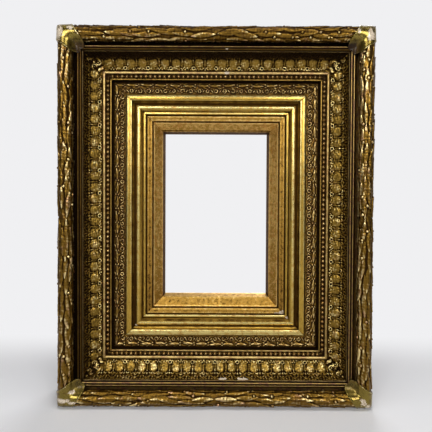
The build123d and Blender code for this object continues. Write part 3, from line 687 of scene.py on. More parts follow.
class Relief:
    # heights over a rail's face: run along it, girth across it, in millimetres

    def __init__(self, side, inset, girth, spacing):
        self.side = side
        self.reach = rails[side]["half"] - inset
        self.girth = girth
        self.share = np.linspace(-1, 1, round(2 * self.reach.max() / spacing) + 1)
        self.run = self.share[:, None] * self.reach[None, :]
        self.fromMitre = self.reach[None, :] - np.abs(self.run)
        self.lift = np.zeros_like(self.run)

    def around(self, spot, size, turn=0.0):
        # the part of the map near a spot, and how far each place lies along and across the turned motif
        run, girth = spot
        reaches = (self.reach.min(), self.reach.max())
        ends = [edge / reach for edge in (run - size, run + size) for reach in reaches]
        rows = slice(np.searchsorted(self.share, min(ends)), np.searchsorted(self.share, max(ends), "right"))
        columns = slice(
            np.searchsorted(self.girth, girth - size), np.searchsorted(self.girth, girth + size, "right"),
        )
        awayRun = self.run[rows, columns] - run
        awayGirth = self.girth[columns][None, :] - girth
        cosine, sine = math.cos(turn), math.sin(turn)
        along = awayRun * cosine + awayGirth * sine
        across = awayGirth * cosine - awayRun * sine
        return (rows, columns), along, across

    def raiseTo(self, place, inside, height):
        self.lift[place] = np.maximum(self.lift[place], np.where(inside, height, 0))

    def dome(self, spot, length, width, height, turn=0.0, base=0.0):
        place, along, across = self.around(spot, max(length, width), turn)
        inside = 1 - (along / length) ** 2 - (across / width) ** 2
        self.raiseTo(place, inside > 0, base + height * np.sqrt(np.clip(inside, 0, 1)))

    def leaf(self, spot, length, width, low, high, crown, turn, keel=0.0, blunt=0.85):
        # a blade with its root at the spot: it rises to its tip, over whatever lies there
        place, along, across = self.around(spot, length + width, turn)
        share = np.clip(along / length, 0, 1)
        half = width * np.sin(math.pi * share ** blunt) ** cutting["leafFullness"] + 1e-6
        side = np.abs(across) / half
        inside = (along > 0) & (along < length) & (side < 1)
        body = low + (high - low) * share + crown * np.sqrt(np.clip(1 - side ** 2, 0, 1))
        body = body + keel * np.clip(1 - side * cutting["keelSlope"], 0, 1)
        edge = np.clip((1 - side) * half / cutting["leafEdge"], 0, 1)
        edge = edge * np.clip((length - along) / cutting["leafTip"], 0, 1)
        self.raiseTo(place, inside, body * (cutting["edgeLevel"] + (1 - cutting["edgeLevel"]) * edge))

    def crescent(self, spot, radius, tube, height, turn, spread, base):
        # a rounded ring, or a part of one, open on the side away from its turn
        place, along, across = self.around(spot, radius + tube, turn)
        away = np.hypot(along, across)
        angle = np.abs(np.arctan2(across, along))
        if spread < math.pi:
            tube = tube * np.clip((spread - angle) / cutting["ringEnd"] + cutting["ringEndLevel"], 0, 1)
        inside = 1 - ((away - radius) / np.maximum(tube, 1e-3)) ** 2
        self.raiseTo(place, inside > 0, base + height * np.sqrt(np.clip(inside, 0, 1)))

    def shell(self, spot, length, spread, height, turn, flutes):
        # a fluted fan with its root at the spot
        place, along, across = self.around(spot, length + 1, turn)
        away = np.hypot(along, across)
        angle = np.arctan2(across, along) / spread
        flute = np.cos(angle * flutes * math.pi)
        rim = length * (1 - cutting["fanRound"] * angle ** 2) * (1 - cutting["fanScallop"] * flute)
        share = away / np.maximum(rim, 1e-3)
        swell = np.sin(np.clip(share, 0, 1) ** 0.8 * math.pi * cutting["fanSwell"])
        swell = swell * np.clip((1 - share) * length / cutting["fanEdge"], 0, 1) ** 0.5
        ridge = 1 - cutting["fluteDepth"] + cutting["fluteDepth"] * flute
        side = np.sqrt(np.clip(1 - angle ** 2, 0, 1))
        self.raiseTo(place, (np.abs(angle) < 1) & (share < 1), height * swell * ridge * side ** 0.7)

    def drill(self, spot, radius, depth):
        place, along, across = self.around(spot, radius * 1.6)
        away = np.hypot(along, across) / radius
        self.lift[place] -= depth * np.exp(-away ** 4)

    def finish(self, seed, height, shortest, lowest, highest, sines=14):
        # small lumps all over, as casting and old gesso leave them, and no thin spikes
        draw = np.random.default_rng(seed)
        for _ in range(sines):
            length = shortest * draw.uniform(1, 3)
            turn = draw.uniform(0, math.pi)
            wave = self.run * math.cos(turn) + self.girth[None, :] * math.sin(turn)
            self.lift += np.sin(wave * 2 * math.pi / length + draw.uniform(0, 6)) * height / 4
        self.lift = np.clip(self.lift, lowest, highest)

    def cavity(self, reach, gain, base):
        # how far each place stands over the mean of what is round it
        columns = max(1, round(reach / np.diff(self.girth).mean()))
        rows = max(1, round(reach / np.diff(self.run[:, 0]).mean()))
        mean = self.lift
        for axis, count in ((0, rows), (1, columns)):
            padded = np.concatenate((
                np.repeat(mean.take([0], axis), count + 1, axis), mean,
                np.repeat(mean.take([-1], axis), count, axis),
            ), axis)
            total = np.cumsum(padded, axis)
            size = 2 * count + 1
            mean = (total.take(range(size, total.shape[axis]), axis)
                    - total.take(range(total.shape[axis] - size), axis)) / size
        return np.clip(base + (self.lift - mean) * gain, 0, 1)


def reliefPiece(name, relief, face, normals, back, cavity, material, node, chip=0.0):
    # the relief over its face, closed behind by a plain back
    side = relief.side
    inset = face[None, :, 0] + normals[None, :, 0] * relief.lift
    height = face[None, :, 1] + normals[None, :, 1] * relief.lift
    rows = len(relief.share)
    inset = np.hstack((inset, np.repeat(back[None, :, 0], rows, axis=0)))
    height = np.hstack((height, np.repeat(back[None, :, 1], rows, axis=0)))
    run = relief.share[:, None] * (rails[side]["half"] - inset)
    plain = np.zeros((rows, len(back)))
    chip = np.hstack((np.broadcast_to(chip, cavity.shape), plain))
    cavity = np.hstack((cavity, plain))
    tags = ["gilt"] * inset.shape[1]
    mesh = sweepMesh(f"{name}_{side}", side, run, inset, height, tags, {"gilt": material}, cavity, chip)
    dressNode(mesh, f"{node}_{side}")


# Garland: laurel leaves and berries round a torus, pointing from the middle of the rail to its corners

garland = {
    "center": (10.6, 72.0), "core": 7.7, "leafRise": 1, "arc": (-60, 240), "grid": 0.48, "seed": 5,
    "columns": 8, "columnGap": 38.0, "firstAngle": -40.0,  # degrees round the torus, from straight outwards
    "leafPitch": 21.0, "firstLeaf": -0.3, "leafKeel": 0.12, "lean": 0.12, "loosePitch": 0.06, "looseSpot": 0.8,
    "leafLength": 31.0, "lengths": (0.8, 1.12), "leafWidth": 3.5, "widths": (0.85, 1.1),
    "leafHigh": 1.05, "highs": (0.65, 1.15), "leafCrown": 0.95, "crowns": (0.8, 1.1),
    "berryRadius": 1.7, "berryHeight": 1.3, "berryBase": 0.7, "berryShare": 0.28,
    "berryStep": 0.2, "berrySink": (1.5, 0.6),  # of a pitch past the leaf; sink in radii and mm
    "lumps": (0.14, 3.0), "limits": (-0.2, 2.2), "bed": ((15.6, 64.0), (5.6, 64.0)),
    "cavity": (2.6, 0.55, 0.5), "middle": 0.46, "level": 0.44,
    "facing": (0.35, 0.65, 70),             # how much wear and painted light and shade show outwards, what inwards adds, over degrees
    "toningAndLightAngles": (20, 60, 100, 140, 180),  # from straight outwards to straight inwards
    # painted light and shade by rail and by angle round the torus: the top garland darker outwards and lighter
    # inwards, the right one lighter inwards
    "toningAndLight": {
        "bottom": (1.0, 1.0, 1.05, 0.92, 0.9), "top": (0.55, 0.66, 0.86, 1.02, 1.1),
        "left": (0.9, 0.96, 1.0, 1.1, 1.1), "right": (0.9, 0.92, 0.98, 1.25, 1.4),
    },
}


def garlandRelief(side):
    size = garland
    draw = np.random.default_rng(railSeed(size, side))
    radius = size["core"] + size["leafRise"]
    angleFrom, angleTo = size["arc"]
    columns = round(radius * math.radians(angleTo - angleFrom) / size["grid"])
    angles = np.linspace(math.radians(angleFrom), math.radians(angleTo), columns)
    normals = np.stack((-np.cos(angles), np.sin(angles)), axis=1)
    face = np.array(size["center"]) + normals * size["core"]
    relief = Relief(side, face[:, 0], angles * radius, size["grid"])
    near = looseHand(draw, size["looseSpot"])
    pitch, berry = size["leafPitch"], size["berryRadius"]
    sinkWide, sinkDeep = size["berrySink"]
    rows = math.ceil(rails[side]["half"] / pitch) + 1
    for direction in (-1, 1):
        for row in range(-1, rows):
            for column in range(size["columns"]):
                middle = math.radians(size["firstAngle"] + column * size["columnGap"]) * radius
                start = (row + 0.5 * (column % 2) + near(0, size["loosePitch"])) * pitch
                if start < pitch * size["firstLeaf"]:
                    continue
                lean = near(0, size["lean"]) + (0 if direction > 0 else math.pi)
                spot = (direction * start, near(middle))
                relief.leaf(
                    spot, size["leafLength"] * draw.uniform(*size["lengths"]),
                    size["leafWidth"] * draw.uniform(*size["widths"]), 0.0,
                    size["leafHigh"] * draw.uniform(*size["highs"]),
                    size["leafCrown"] * draw.uniform(*size["crowns"]), lean, size["leafKeel"], blunt=1.0,
                )
        for row in range(rows):
            for column in range(size["columns"]):
                if draw.uniform() > size["berryShare"]:
                    continue
                middle = math.radians(size["firstAngle"] + (column + 0.5) * size["columnGap"]) * radius
                start = (row + 0.5 * (column % 2) + size["berryStep"]) * pitch
                spot = (direction * start, middle)
                relief.drill(spot, berry * sinkWide, sinkDeep)
                relief.dome(spot, berry, berry, size["berryHeight"], base=size["berryBase"])
    relief.finish(size["seed"] + 1, *size["lumps"], *size["limits"])
    return relief, face, normals, angles


# toned leaf rubbed on its edges: brown hollows, pale gold and rose on the leaf tips; the brown also paints
# shade and the pale gold paints highlights
garlandGilt = gilding(
    "tonedGiltGarland", leaf="#785A20", rubbed="#F0D898", rose="#B8906A", bole="#583C18", grime="#301E08",
    grimeFrom=0.22, grimeTo=0.56, rubFrom=0.56, rubTo=0.86, mottleSize=16.0, mottleAmount=0.5, hueSize=12.0,
    leafRoughness=0.31,
)
for side in rails:
    relief, face, normals, angles = garlandRelief(side)
    outwards, added, turned = garland["facing"]
    facing = outwards + added * np.clip(angles / math.radians(turned), 0, 1)
    wearAndLight = garland["level"] + (relief.cavity(*garland["cavity"]) - garland["middle"]) * facing
    # painted light and shade by angle round the torus, different on each rail
    wearAndLight = wearAndLight * np.interp(np.degrees(angles), garland["toningAndLightAngles"], garland["toningAndLight"][side])
    reliefPiece(
        "laurel_garland", relief, face, normals, np.array(garland["bed"]), wearAndLight,
        garlandGilt, "garland",
    )
print("garland ready")


# Cove ornament: paired lobes, darts and drilled eyes by the half-round, scrolls, then small petals

coveCarving = {
    "pitch": 13.85, "grid": 0.42, "skin": 0.5, "arc": (1, 88.5), "seed": 17, "loose": 0.35,
    "lobeRow": 9.8, "scrollRow": 16.8, "eyeRow": 3.6, "petalRow": 26.6,  # mm up the cove from the half-round
    "mitreFade": (5.0, 4.0), "mitreBeads": (3.0, 27.0, 4.0),  # mm from the mitre; girth from, to and apart
    "mitreScrolls": ((3.2, 2.0, 1.6, 0.8), (10.5, 4.6, 3.0, 1.1), (18.5, 2.4, 2.2, 0.8)),
    "lumps": (0.16, 1.9), "limits": (-0.35, 2.8),
    "backRadius": 18.47, "backPoints": 12,
    "fineCavity": (1.9, 0.36, 0.46), "wideCavity": (4.4, 0.15, 0.5),
    # toning and painted shade over the outer part of the cove, strongest on the top rail, which faces down
    "dustAndShade": {"top": 0.85, "left": 0.45, "right": 0.3, "bottom": 0.2}, "dustAndShadeFrom": 12.0, "dustAndShadeOver": 8.0,
    "chips": {"bottom": [(-9.6, 26.6, 4.8, 2.2), (-33.2, 26.6, 7.0, 2.2)]},
}


def coveUnit(relief, middle, odd, draw):
    # a dart or an eye, and the fluted shell beside it; girth runs from the half-round up the cove, and all
    # numbers are mm: half length, half width and height of a dome, length, width and rise of a leaf
    near = looseHand(draw, coveCarving["loose"])
    up = math.pi / 2
    pitch, scrollRow, eyeRow = coveCarving["pitch"], coveCarving["scrollRow"], coveCarving["eyeRow"]
    lobe = middle + pitch / 2
    spot = (near(lobe), near(coveCarving["lobeRow"]))
    relief.dome(spot, 7.2, near(6.5), near(2.7, 0.3), near(up, 0.1), 0.1)
    relief.shell((near(lobe), 17.0), near(15.4, 0.6), near(0.68, 0.05), near(2.0, 0.3), near(-up, 0.08), 5)
    for mirror in (-1, 1):
        scroll = lobe + mirror * 2.7
        relief.crescent((near(scroll), near(scrollRow)), 1.9, 0.8, near(1.5), up + mirror * 0.5, 2.2, 0.2)
        relief.dome((scroll, scrollRow), 0.8, 0.8, 1.2, 0, 0.2)
        relief.dome((near(lobe + mirror * 3.6, 0.2), near(2.2)), 1.1, 0.9, near(1.3), 0, 0.3)
        relief.leaf((lobe + mirror * 0.6, 18.5), near(6.2), 1.3, 0.2, 0.9, 0.5, up - mirror * 0.6)
    relief.leaf((lobe, 18.2), near(7.4), 1.4, 0.2, 1.0, 0.5, near(up, 0.1))
    if odd:
        for offset, girth in ((0, 1.8), (-1.3, eyeRow), (1.3, eyeRow)):
            relief.dome((near(middle + offset, 0.15), girth), 1.1, 1.1, near(1.6), 0, 0.4)
        relief.leaf((middle, 4.6), near(12.0), 1.5, 0.8, 1.1, 0.5, near(up, 0.05), keel=0.2)
        relief.crescent((middle, near(18.4)), 1.5, 0.7, 1.2, 0, math.pi, 0.2)
    else:
        relief.crescent((middle, eyeRow), 1.9, 0.75, 1.8, 0, math.pi, 0.4)
        relief.drill((middle, eyeRow), 1.3, 2.4)
        relief.leaf((middle, 6.2), near(10.0), 1.4, 0.8, 1.1, 0.5, near(up, 0.05), keel=0.2)
        relief.dome((middle, near(18.0)), 1.6, 1.2, near(1.3), up, 0.3)
    relief.crescent((near(middle), near(22.2)), 2.8, 0.6, near(0.8, 0.2), up, 1.6, 0.15)
    relief.dome((near(middle), near(22.6)), 1.1, 0.8, 0.8, 0, 0.2)
    for offset in (0.25, 0.5, 0.75, 1.0):
        petal = (near(middle + pitch * offset), near(coveCarving["petalRow"]))
        relief.dome(petal, 1.3, 0.8, near(0.8, 0.2), 0, 0.1)


def coveRelief(side):
    size = coveCarving
    draw = np.random.default_rng(railSeed(size, side))
    radius, half = scoopRail["coveRadius"], rails[side]["half"]
    columns = round(radius * math.pi / 2 / size["grid"])
    angles = np.linspace(*map(math.radians, size["arc"]), columns)  # 0 straight back, 90 level outwards
    outward = np.stack((-np.sin(angles), -np.cos(angles)), axis=1)
    face = np.array(coveCenter) + outward * (radius - size["skin"])
    relief = Relief(side, face[:, 0], angles * radius, size["grid"])
    units = math.ceil(half / size["pitch"])
    for unit in range(-units, units + 1):
        coveUnit(relief, unit * size["pitch"], unit % 2, draw)
    fadeFrom, fadeOver = size["mitreFade"]
    relief.lift *= np.clip((relief.fromMitre - fadeFrom) / fadeOver, 0, 1)
    for direction in (-1, 1):
        for girth, back, ring, tube in size["mitreScrolls"]:
            inset = np.interp(girth, relief.girth, face[:, 0])
            spot = (direction * (half - inset - back), girth)
            relief.crescent(spot, ring, tube, 1.7, math.pi * 0.2 * direction, 2.4, 0.4)
            relief.dome(spot, 1.1, 1.1, 1.6, 0, 0.5)
        for girth in np.arange(*size["mitreBeads"]):
            inset = np.interp(girth, relief.girth, face[:, 0])
            relief.dome((direction * (half - inset), girth), 1.5, 1.3, 1.4, 0, 0.4)
    relief.finish(size["seed"] + 3, *size["lumps"], *size["limits"])
    return relief, face, -outward


# the same, cleaner: the lobes show pale yellow, partly painted highlight, over nearly black drillings
coveGilt = gilding(
    "tonedGiltCove", leaf="#86692A", rubbed="#FCE69C", rose="#C8A468", bole="#5E421C", grime="#281A08",
    grimeFrom=0.2, grimeTo=0.56, rubFrom=0.56, rubTo=0.88, mottleSize=9.0, mottleAmount=0.7,
    leafRoughness=0.32,
)
backAngles = np.linspace(*map(math.radians, coveCarving["arc"]), coveCarving["backPoints"])
coveBack = np.stack((np.sin(backAngles), np.cos(backAngles)), axis=1) * coveCarving["backRadius"]
coveBack = np.array(coveCenter) - coveBack
for side in rails:
    relief, face, normals = coveRelief(side)
    # the outer part of the cove darker, as dust and as painted shade
    dustyAndShaded = np.clip((relief.girth - coveCarving["dustAndShadeFrom"]) / coveCarving["dustAndShadeOver"], 0, 1)
    # the wide cavity lifts whole lobes towards the rubbed colour: wear, and painted highlight on their domes
    crest = relief.cavity(*coveCarving["fineCavity"]) + relief.cavity(*coveCarving["wideCavity"]) - 0.5
    crest = crest * (1 - coveCarving["dustAndShade"][side] * dustyAndShaded)
    chip = chipMap(relief.run, relief.girth, coveCarving["chips"].get(side, ()), "cove")
    relief.lift = relief.lift[:, ::-1]  # the section runs down the face and back up behind
    reliefPiece(
        "cove_carving", relief, face[::-1], normals[::-1], coveBack, crest[:, ::-1],
        coveGilt, "cove_ornament", chip[:, ::-1],
    )
print("cove ready")


# Inner band: a wavy ribbon of long leaves, then rosettes and slanted bars

band = {
    "from": 60.7, "to": 74.4, "bed": 41.5, "grid": 0.38, "skin": 0.6, "seed": 29, "loose": 0.3,
    "flamePitch": 17.4, "flameRow": 3.4, "flameLength": 14.5, "ringPitch": 10.4, "ringRow": 9.7,
    "mitreFade": (-0.3, 1.2), "lumps": (0.12, 1.8), "limits": (-0.3, 2.2), "cavity": (1.6, 0.5, 0.47),
    # painted light by rail: the band lighter on the bottom and right rails, a little darker on the top
    "toningAndLight": {"bottom": 1.12, "top": 0.98, "left": 1.02, "right": 1.16},
}


def bandRelief(side):
    # outer row: long flames with small commas; inner row: rings with slanted scrolls between
    size = band
    near = looseHand(np.random.default_rng(railSeed(size, side)), size["loose"])
    width = size["to"] - size["from"]
    girth = np.linspace(0, width, round(width / size["grid"]) + 1)
    face = np.stack((size["from"] + girth, np.full_like(girth, size["bed"] + size["skin"])), axis=1)
    normals = np.repeat(np.array([(0.0, 1.0)]), len(girth), axis=0)
    relief = Relief(side, face[:, 0], girth, size["grid"])
    half = rails[side]["half"]
    pitch, row = size["flamePitch"], size["flameRow"]
    count = math.ceil(half / pitch)
    for step in range(-count, count + 1):
        middle = step * pitch
        facing, root = (0, -8.2) if step >= 0 else (math.pi, 8.2)
        spot = (near(middle) + root, near(row, 0.2))
        relief.leaf(spot, near(size["flameLength"], 1.0), 2.0, 0.7, 1.3, 0.8, near(facing, 0.1), 0.2)
        for mirror in (-1, 1):
            spot = (near(middle + mirror * 3.0), row + mirror * 2.3)
            relief.dome(spot, near(2.8), 0.8, 0.9, mirror * 0.35, 0.2)
            relief.dome((near(middle + pitch / 2), row + mirror * 1.5), 1.2, 0.9, near(1.3), 0, 0.3)
    pitch, row = size["ringPitch"], size["ringRow"]
    count = math.ceil(half / pitch)
    for step in range(-count, count + 1):
        spot = (near(step * pitch), near(row, 0.15))
        relief.crescent(spot, near(1.9, 0.2), 0.65, near(1.4, 0.2), near(0, 3), near(2.9), 0.3)
        relief.dome(spot, 0.7, 0.6, near(0.9), 0, 0.1)
        slant = 0.9 if step % 2 else -0.9
        spot = (step * pitch + pitch / 2, near(row, 0.2))
        relief.dome(spot, 2.4, 0.75, near(1.4, 0.2), near(slant, 0.2), 0.2)
        for mirror in (1, -1):
            relief.dome((spot[0] + mirror * near(1.5), row + mirror * 1.6), 0.8, 0.6, 0.9, 0, 0.2)
    fadeFrom, fadeOver = size["mitreFade"]
    relief.lift *= np.clip((relief.fromMitre - fadeFrom) / fadeOver, 0, 1)
    relief.finish(size["seed"] + 2, *size["lumps"], *size["limits"])
    return relief, face, normals


# dull toned leaf, little rubbed: a brown gold lace
bandGilt = gilding(
    "tonedGiltBand", leaf="#7E6028", rubbed="#DCBE7C", rose="#B08A58", bole="#543618", grime="#34220E",
    grimeFrom=0.3, grimeTo=0.62, rubFrom=0.62, rubTo=0.95, mottleSize=8.0, mottleAmount=0.5,
    leafRoughness=0.34,
)
bandBack = np.array(((band["to"], band["bed"]), (band["from"], band["bed"])))
for side in rails:
    relief, face, normals = bandRelief(side)
    cavity = relief.cavity(*band["cavity"]) * band["toningAndLight"][side]
    reliefPiece("band_carving", relief, face, normals, bandBack, cavity, bandGilt, "inner_band")
print("inner band ready")


# Bead rows

beads = {
    "inset": 53.95, "height": 47.3, "radius": 2.4, "pitch": 5.74, "around": 18, "levels": 11, "seed": 41,
    "smallest": 0.95, "shift": 0.12,
}


def beadRow(side, material):
    # round beads, each a little different
    size = beads
    draw = np.random.default_rng(railSeed(size, side))
    half = rails[side]["half"] - size["inset"]
    count = round(2 * half / size["pitch"])
    turns = np.linspace(0, 2 * math.pi, size["around"], endpoint=False)
    tilts = np.linspace(-math.pi / 2, math.pi / 2, size["levels"])[:, None]
    ring = np.cos(tilts)
    ball = np.stack((ring * np.cos(turns), ring * np.sin(turns), np.sin(tilts + 0 * turns)), axis=-1)
    spots = []
    for bead in range(1, count):
        radius = size["radius"] * draw.uniform(size["smallest"], 1.0)
        middle = np.array((bead * 2 * half / count - half, size["inset"], size["height"]))
        spots.append(middle + draw.uniform(-size["shift"], size["shift"], 3) + radius * ball)
    spots = np.array(spots)
    grid = np.arange(spots.size // 3).reshape(spots.shape[:3])
    turned = np.roll(grid, -1, axis=2)
    quads = np.stack((grid[:, :-1], turned[:, :-1], turned[:, 1:], grid[:, 1:]), axis=-1).reshape(-1, 4)
    mesh = bpy.data.meshes.new(f"bead_string_{side}")
    points = railPoints(side, spots[..., 0], spots[..., 1], spots[..., 2]).reshape(-1, 3)
    mesh.from_pydata(points.tolist(), [], quads.tolist())
    mesh.materials.append(material)
    # paler towards each bead's front crown and darker round its feet: wear and toning, with a painted
    # highlight on the crown and painted shade round the feet
    addMaps(mesh, cavity=np.tile(0.5 + 0.5 * ball[..., 2], (count - 1, 1)))
    dressNode(mesh, f"bead_row_{side}")


# toned leaf, burnished on the crowns and dark round the feet: each bead shows a small sharp light, partly a
# painted highlight on its crown, with painted shade round its feet
beadGilt = gilding(
    "tonedGiltBeads", leaf="#7A5826", rubbed="#D8BA7C", rose="#BC9460", bole="#543416", grime="#34220E",
    grimeFrom=0.35, grimeTo=0.85, rubFrom=0.88, rubTo=1.1, leafRoughness=0.28,
)
for side in rails:
    beadRow(side, beadGilt)
print("beads ready")


# Corner leaves: a smooth blade bent round the mitred garland, worn to the gesso at the outer corner

cornerLeaf = {
    "reach": 18.6, "taper": 0.30,  # how far from the mitre it goes at the outer face, and how it narrows
    "tip": (28.7, 73.2), "tipWidth": 12.7, "bottom": 62.7, "outerRadius": 9.4, "turn": 30.0, "dip": 1.1,
    "thickness": 1.2, "columns": 26, "grid": 0.6, "tipPoints": 18,
    "rim": 0.35, "rimWidth": 1.1, "rimInset": 0.8, "edgeRound": 0.7, "tipBlunt": 0.5, "sunk": 0.6,
    "swell": 0.1, "swellLength": 9.0, "swellSlant": 0.12,  # mm, mm and radians for each mm down the blade
    "bend": 2.2, "leastBend": 0.05, "bendOver": 12, "bendFrom": 1, "bendRise": 7,
    "leastInset": 0.02, "sideInset": 0.05,
    "cavity": 0.56, "rimCavity": 0.7, "shadeFrom": 15, "shadeOver": 9,
    "shade": {"top": 0.72, "bottom": 0.45},  # how much painted shade darkens the inner end
    "chips": {  # spots in mm from the side's face and from the top or bottom face, with their two radii
        "top_left": [(6.5, 12.0, 4.5, 8.0), (19.5, 7.0, 4.0, 2.6)],
        "top_right": [(8.5, 13.5, 4.6, 6.5), (23.0, 8.5, 2.4, 3.4)],
        "bottom_left": [(10.0, 11.0, 8.0, 2.6), (19.5, 19.5, 3.2, 2.0), (21.0, 8.5, 4.6, 2.0)],
        "bottom_right": [(14.0, 10.0, 4.0, 4.4), (8.0, 5.0, 3.0, 3.0)],
    },
}


def leafProfile():
    # the blade's section: up the board's side, round the garland and down to the tip
    size = cornerLeaf
    centerInset, centerHeight = garland["center"]
    outer = size["outerRadius"] + size["thickness"]
    line = [(size["sideInset"], h) for h in np.arange(size["bottom"], centerHeight, size["grid"])]
    for angle in np.arange(180.0, size["turn"], -math.degrees(size["grid"] / outer)):
        turn = math.radians(angle)
        line.append((centerInset + outer * math.cos(turn), centerHeight + outer * math.sin(turn)))
    foot, tip = np.array(line[-1]), np.array(size["tip"])
    for share in np.linspace(0, 1, size["tipPoints"])[1:]:
        line.append(foot + (tip - foot) * share - (0, size["dip"] * math.sin(math.pi * share)))
    return np.array(line)


def leafShape():
    # one arm, in rows down the blade: how far each place is from the mitre, its front and back surfaces,
    # how far it stands out, and how near it is to the inner end
    size = cornerLeaf
    line = leafProfile()
    inset, height = line[:, :1], line[:, 1:]
    tangent = np.gradient(line, axis=0)
    tangent /= np.linalg.norm(tangent, axis=1)[:, None]
    normalInset, normalHeight = -tangent[:, 1:], tangent[:, :1]
    inward = np.clip((inset - (size["tip"][0] - size["tipWidth"])) / size["tipWidth"], 0, 1)
    extent = (size["reach"] - size["taper"] * inset) * np.sqrt(1 - inward ** 2) + size["tipBlunt"]
    away = np.linspace(0, 1, size["columns"])[None, :] * extent
    toEdge = extent - away
    rim = size["rim"] * np.exp(-((toEdge - size["rimInset"]) / size["rimWidth"]) ** 2)
    rim = rim * np.clip(toEdge / size["edgeRound"], 0, 1) * (1 - inward)
    swell = size["swell"] * np.cos(away * math.pi / size["swellLength"] + inset * size["swellSlant"])
    lift = rim + swell - size["sunk"]
    bend = size["bend"] * np.clip((size["tip"][0] - inset) / size["bendOver"], 0, 1)
    shift = bend * np.log1p(np.exp(-away / np.maximum(bend, size["leastBend"])))  # rounded off at the mitre
    shift = shift * np.clip((height - size["bottom"] - size["bendFrom"]) / size["bendRise"], 0, 1)
    front = (np.maximum(inset + normalInset * lift + shift, size["leastInset"]), height + normalHeight * lift)
    deep = size["thickness"] + 0 * away
    back = (inset - normalInset * deep + shift, height - normalHeight * deep)
    crest = np.clip(size["cavity"] + rim * size["rimCavity"], 0, 1)
    inner = np.clip((inset - size["shadeFrom"]) / size["shadeOver"], 0, 1)
    return away, front, back, crest, inner


def cornerLeafPiece(name, sides, shape, material):
    # two arms that meet on the mitre
    size = cornerLeaf
    away, front, back, crest, inner = shape
    # the inner end of the blade darkened: painted shade
    cleanAndLit = crest * (1 - size["shade"][sides[0]] * inner)
    spots, cavity, chips, faces = [], [], [], []
    for side, other in (sides, sides[::-1]):
        direction = -np.sign(np.dot(rails[side]["along"], rails[other]["inward"]))
        for isFront, (inset, height) in ((1, front), (0, back)):
            run = direction * (rails[side]["half"] - inset - away)
            spots.append(railPoints(side, run, inset, height).reshape(-1, 3))
            across, down = (inset, inset + away) if side in ("left", "right") else (inset + away, inset)
            cavity.append(cleanAndLit * isFront)
            chips.append(chipMap(across, down, size["chips"][name], "leaf") * isFront)
    grid = np.arange(away.size).reshape(away.shape)
    quads = np.stack((grid[:-1, :-1], grid[:-1, 1:], grid[1:, 1:], grid[1:, :-1]), axis=-1).reshape(-1, 4)
    border = np.concatenate((grid[0], grid[1:, -1], grid[-1, -2::-1]))  # all but the edge on the mitre
    for start in (0, 2 * away.size):
        behind = start + away.size
        faces += np.stack((quads + start, quads[:, ::-1] + behind), axis=1).reshape(-1, 4).tolist()
        faces += [
            (start + here, behind + here, behind + there, start + there)
            for here, there in zip(border[:-1].tolist(), border[1:].tolist())
        ]
    mesh = bpy.data.meshes.new(f"gilded_leaf_{name}")
    mesh.from_pydata(np.vstack(spots).tolist(), [], faces)
    addMaps(mesh, cavity=cavity, chip=chips)
    joined = bmesh.new()
    joined.from_mesh(mesh)
    bmesh.ops.remove_doubles(joined, verts=joined.verts, dist=0.01 * mm)
    bmesh.ops.recalc_face_normals(joined, faces=joined.faces)
    joined.to_mesh(mesh)
    joined.free()
    mesh.materials.append(material)
    dressNode(mesh, f"corner_leaf_{name}")


# leaf burnished with a stone under old shellac: a greenish mirror, chipped to white gesso
leafGilt = gilding(
    "burnishedGiltLeaf", leaf="#82702E", rubbed="#F0E2A8", rose="#C8A878", bole="#5E421C", grime="#2A1A08",
    grimeFrom=0.14, grimeTo=0.5, rubFrom=0.72, rubTo=1.0, mottleSize=6.0, mottleAmount=0.6, fineSize=1.0,
    fineAmount=0.5, leafRoughness=0.27, bumpDepth=0.03, varnish=0.25,
)
bladeShape = leafShape()
for level in ("bottom", "top"):
    for side in ("left", "right"):
        cornerLeafPiece(f"{level}_{side}", (level, side), bladeShape, leafGilt)
print("corner leaves ready")


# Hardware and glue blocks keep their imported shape

# pressed brass gone brown in the air, and iron blackened when it was made, freckled with rust
brass = tarnishedMetal("tarnishedBrass", "#AC8C50", "#7A6032", "#3C2C14", 0.34)
iron = tarnishedMetal("blackenedIron", "#6A6560", "#3A342E", "#5A3218", 0.5)
nodeFinish = {
    "glue_block": pine("gluedPineBlock", "X"), "corner_nails": iron, "liner_brads": iron,
    "turn_button": brass, "hanger_strap": brass, "hanger_ring": brass, "hanger_screws": brass,
}
for node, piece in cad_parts.items():
    for start, finish in nodeFinish.items():
        if node.startswith(start):
            piece.data.materials.clear()
            piece.data.materials.append(finish)
print("hardware ready")


# Stage: pale floor, soft light and the camera

stage = {
    "color": "#F0F0F2", "halfWidth": 1.6, "front": -1.8, "back": 4.0,
    "fadeFrom": 0.06, "fadeTo": 0.22,  # behind the frame, where the floor turns into plain background
    "edgeFrom": 0.75, "edgeTo": 1.3,   # the same all round, for views from other sides
    "worldColor": "#D8D8DC", "worldStrength": 0.14, "worldFadeTo": 0.2,
}


def backgroundRays(tree, behind):
    # 1 for rays that should meet the pale background: the camera's, and mirrored or clear ones from behind
    rays = addNode(tree, "LightPath").node.outputs
    mirrored = addNode(tree, "Math", {
        0: rays["Is Glossy Ray"], 1: rays["Is Transmission Ray"],
    }, operation="MAXIMUM")
    mirrored = addNode(tree, "Math", {0: mirrored, 1: behind}, operation="MULTIPLY")
    return addNode(tree, "Math", {0: rays["Is Camera Ray"], 1: mirrored}, operation="MAXIMUM")


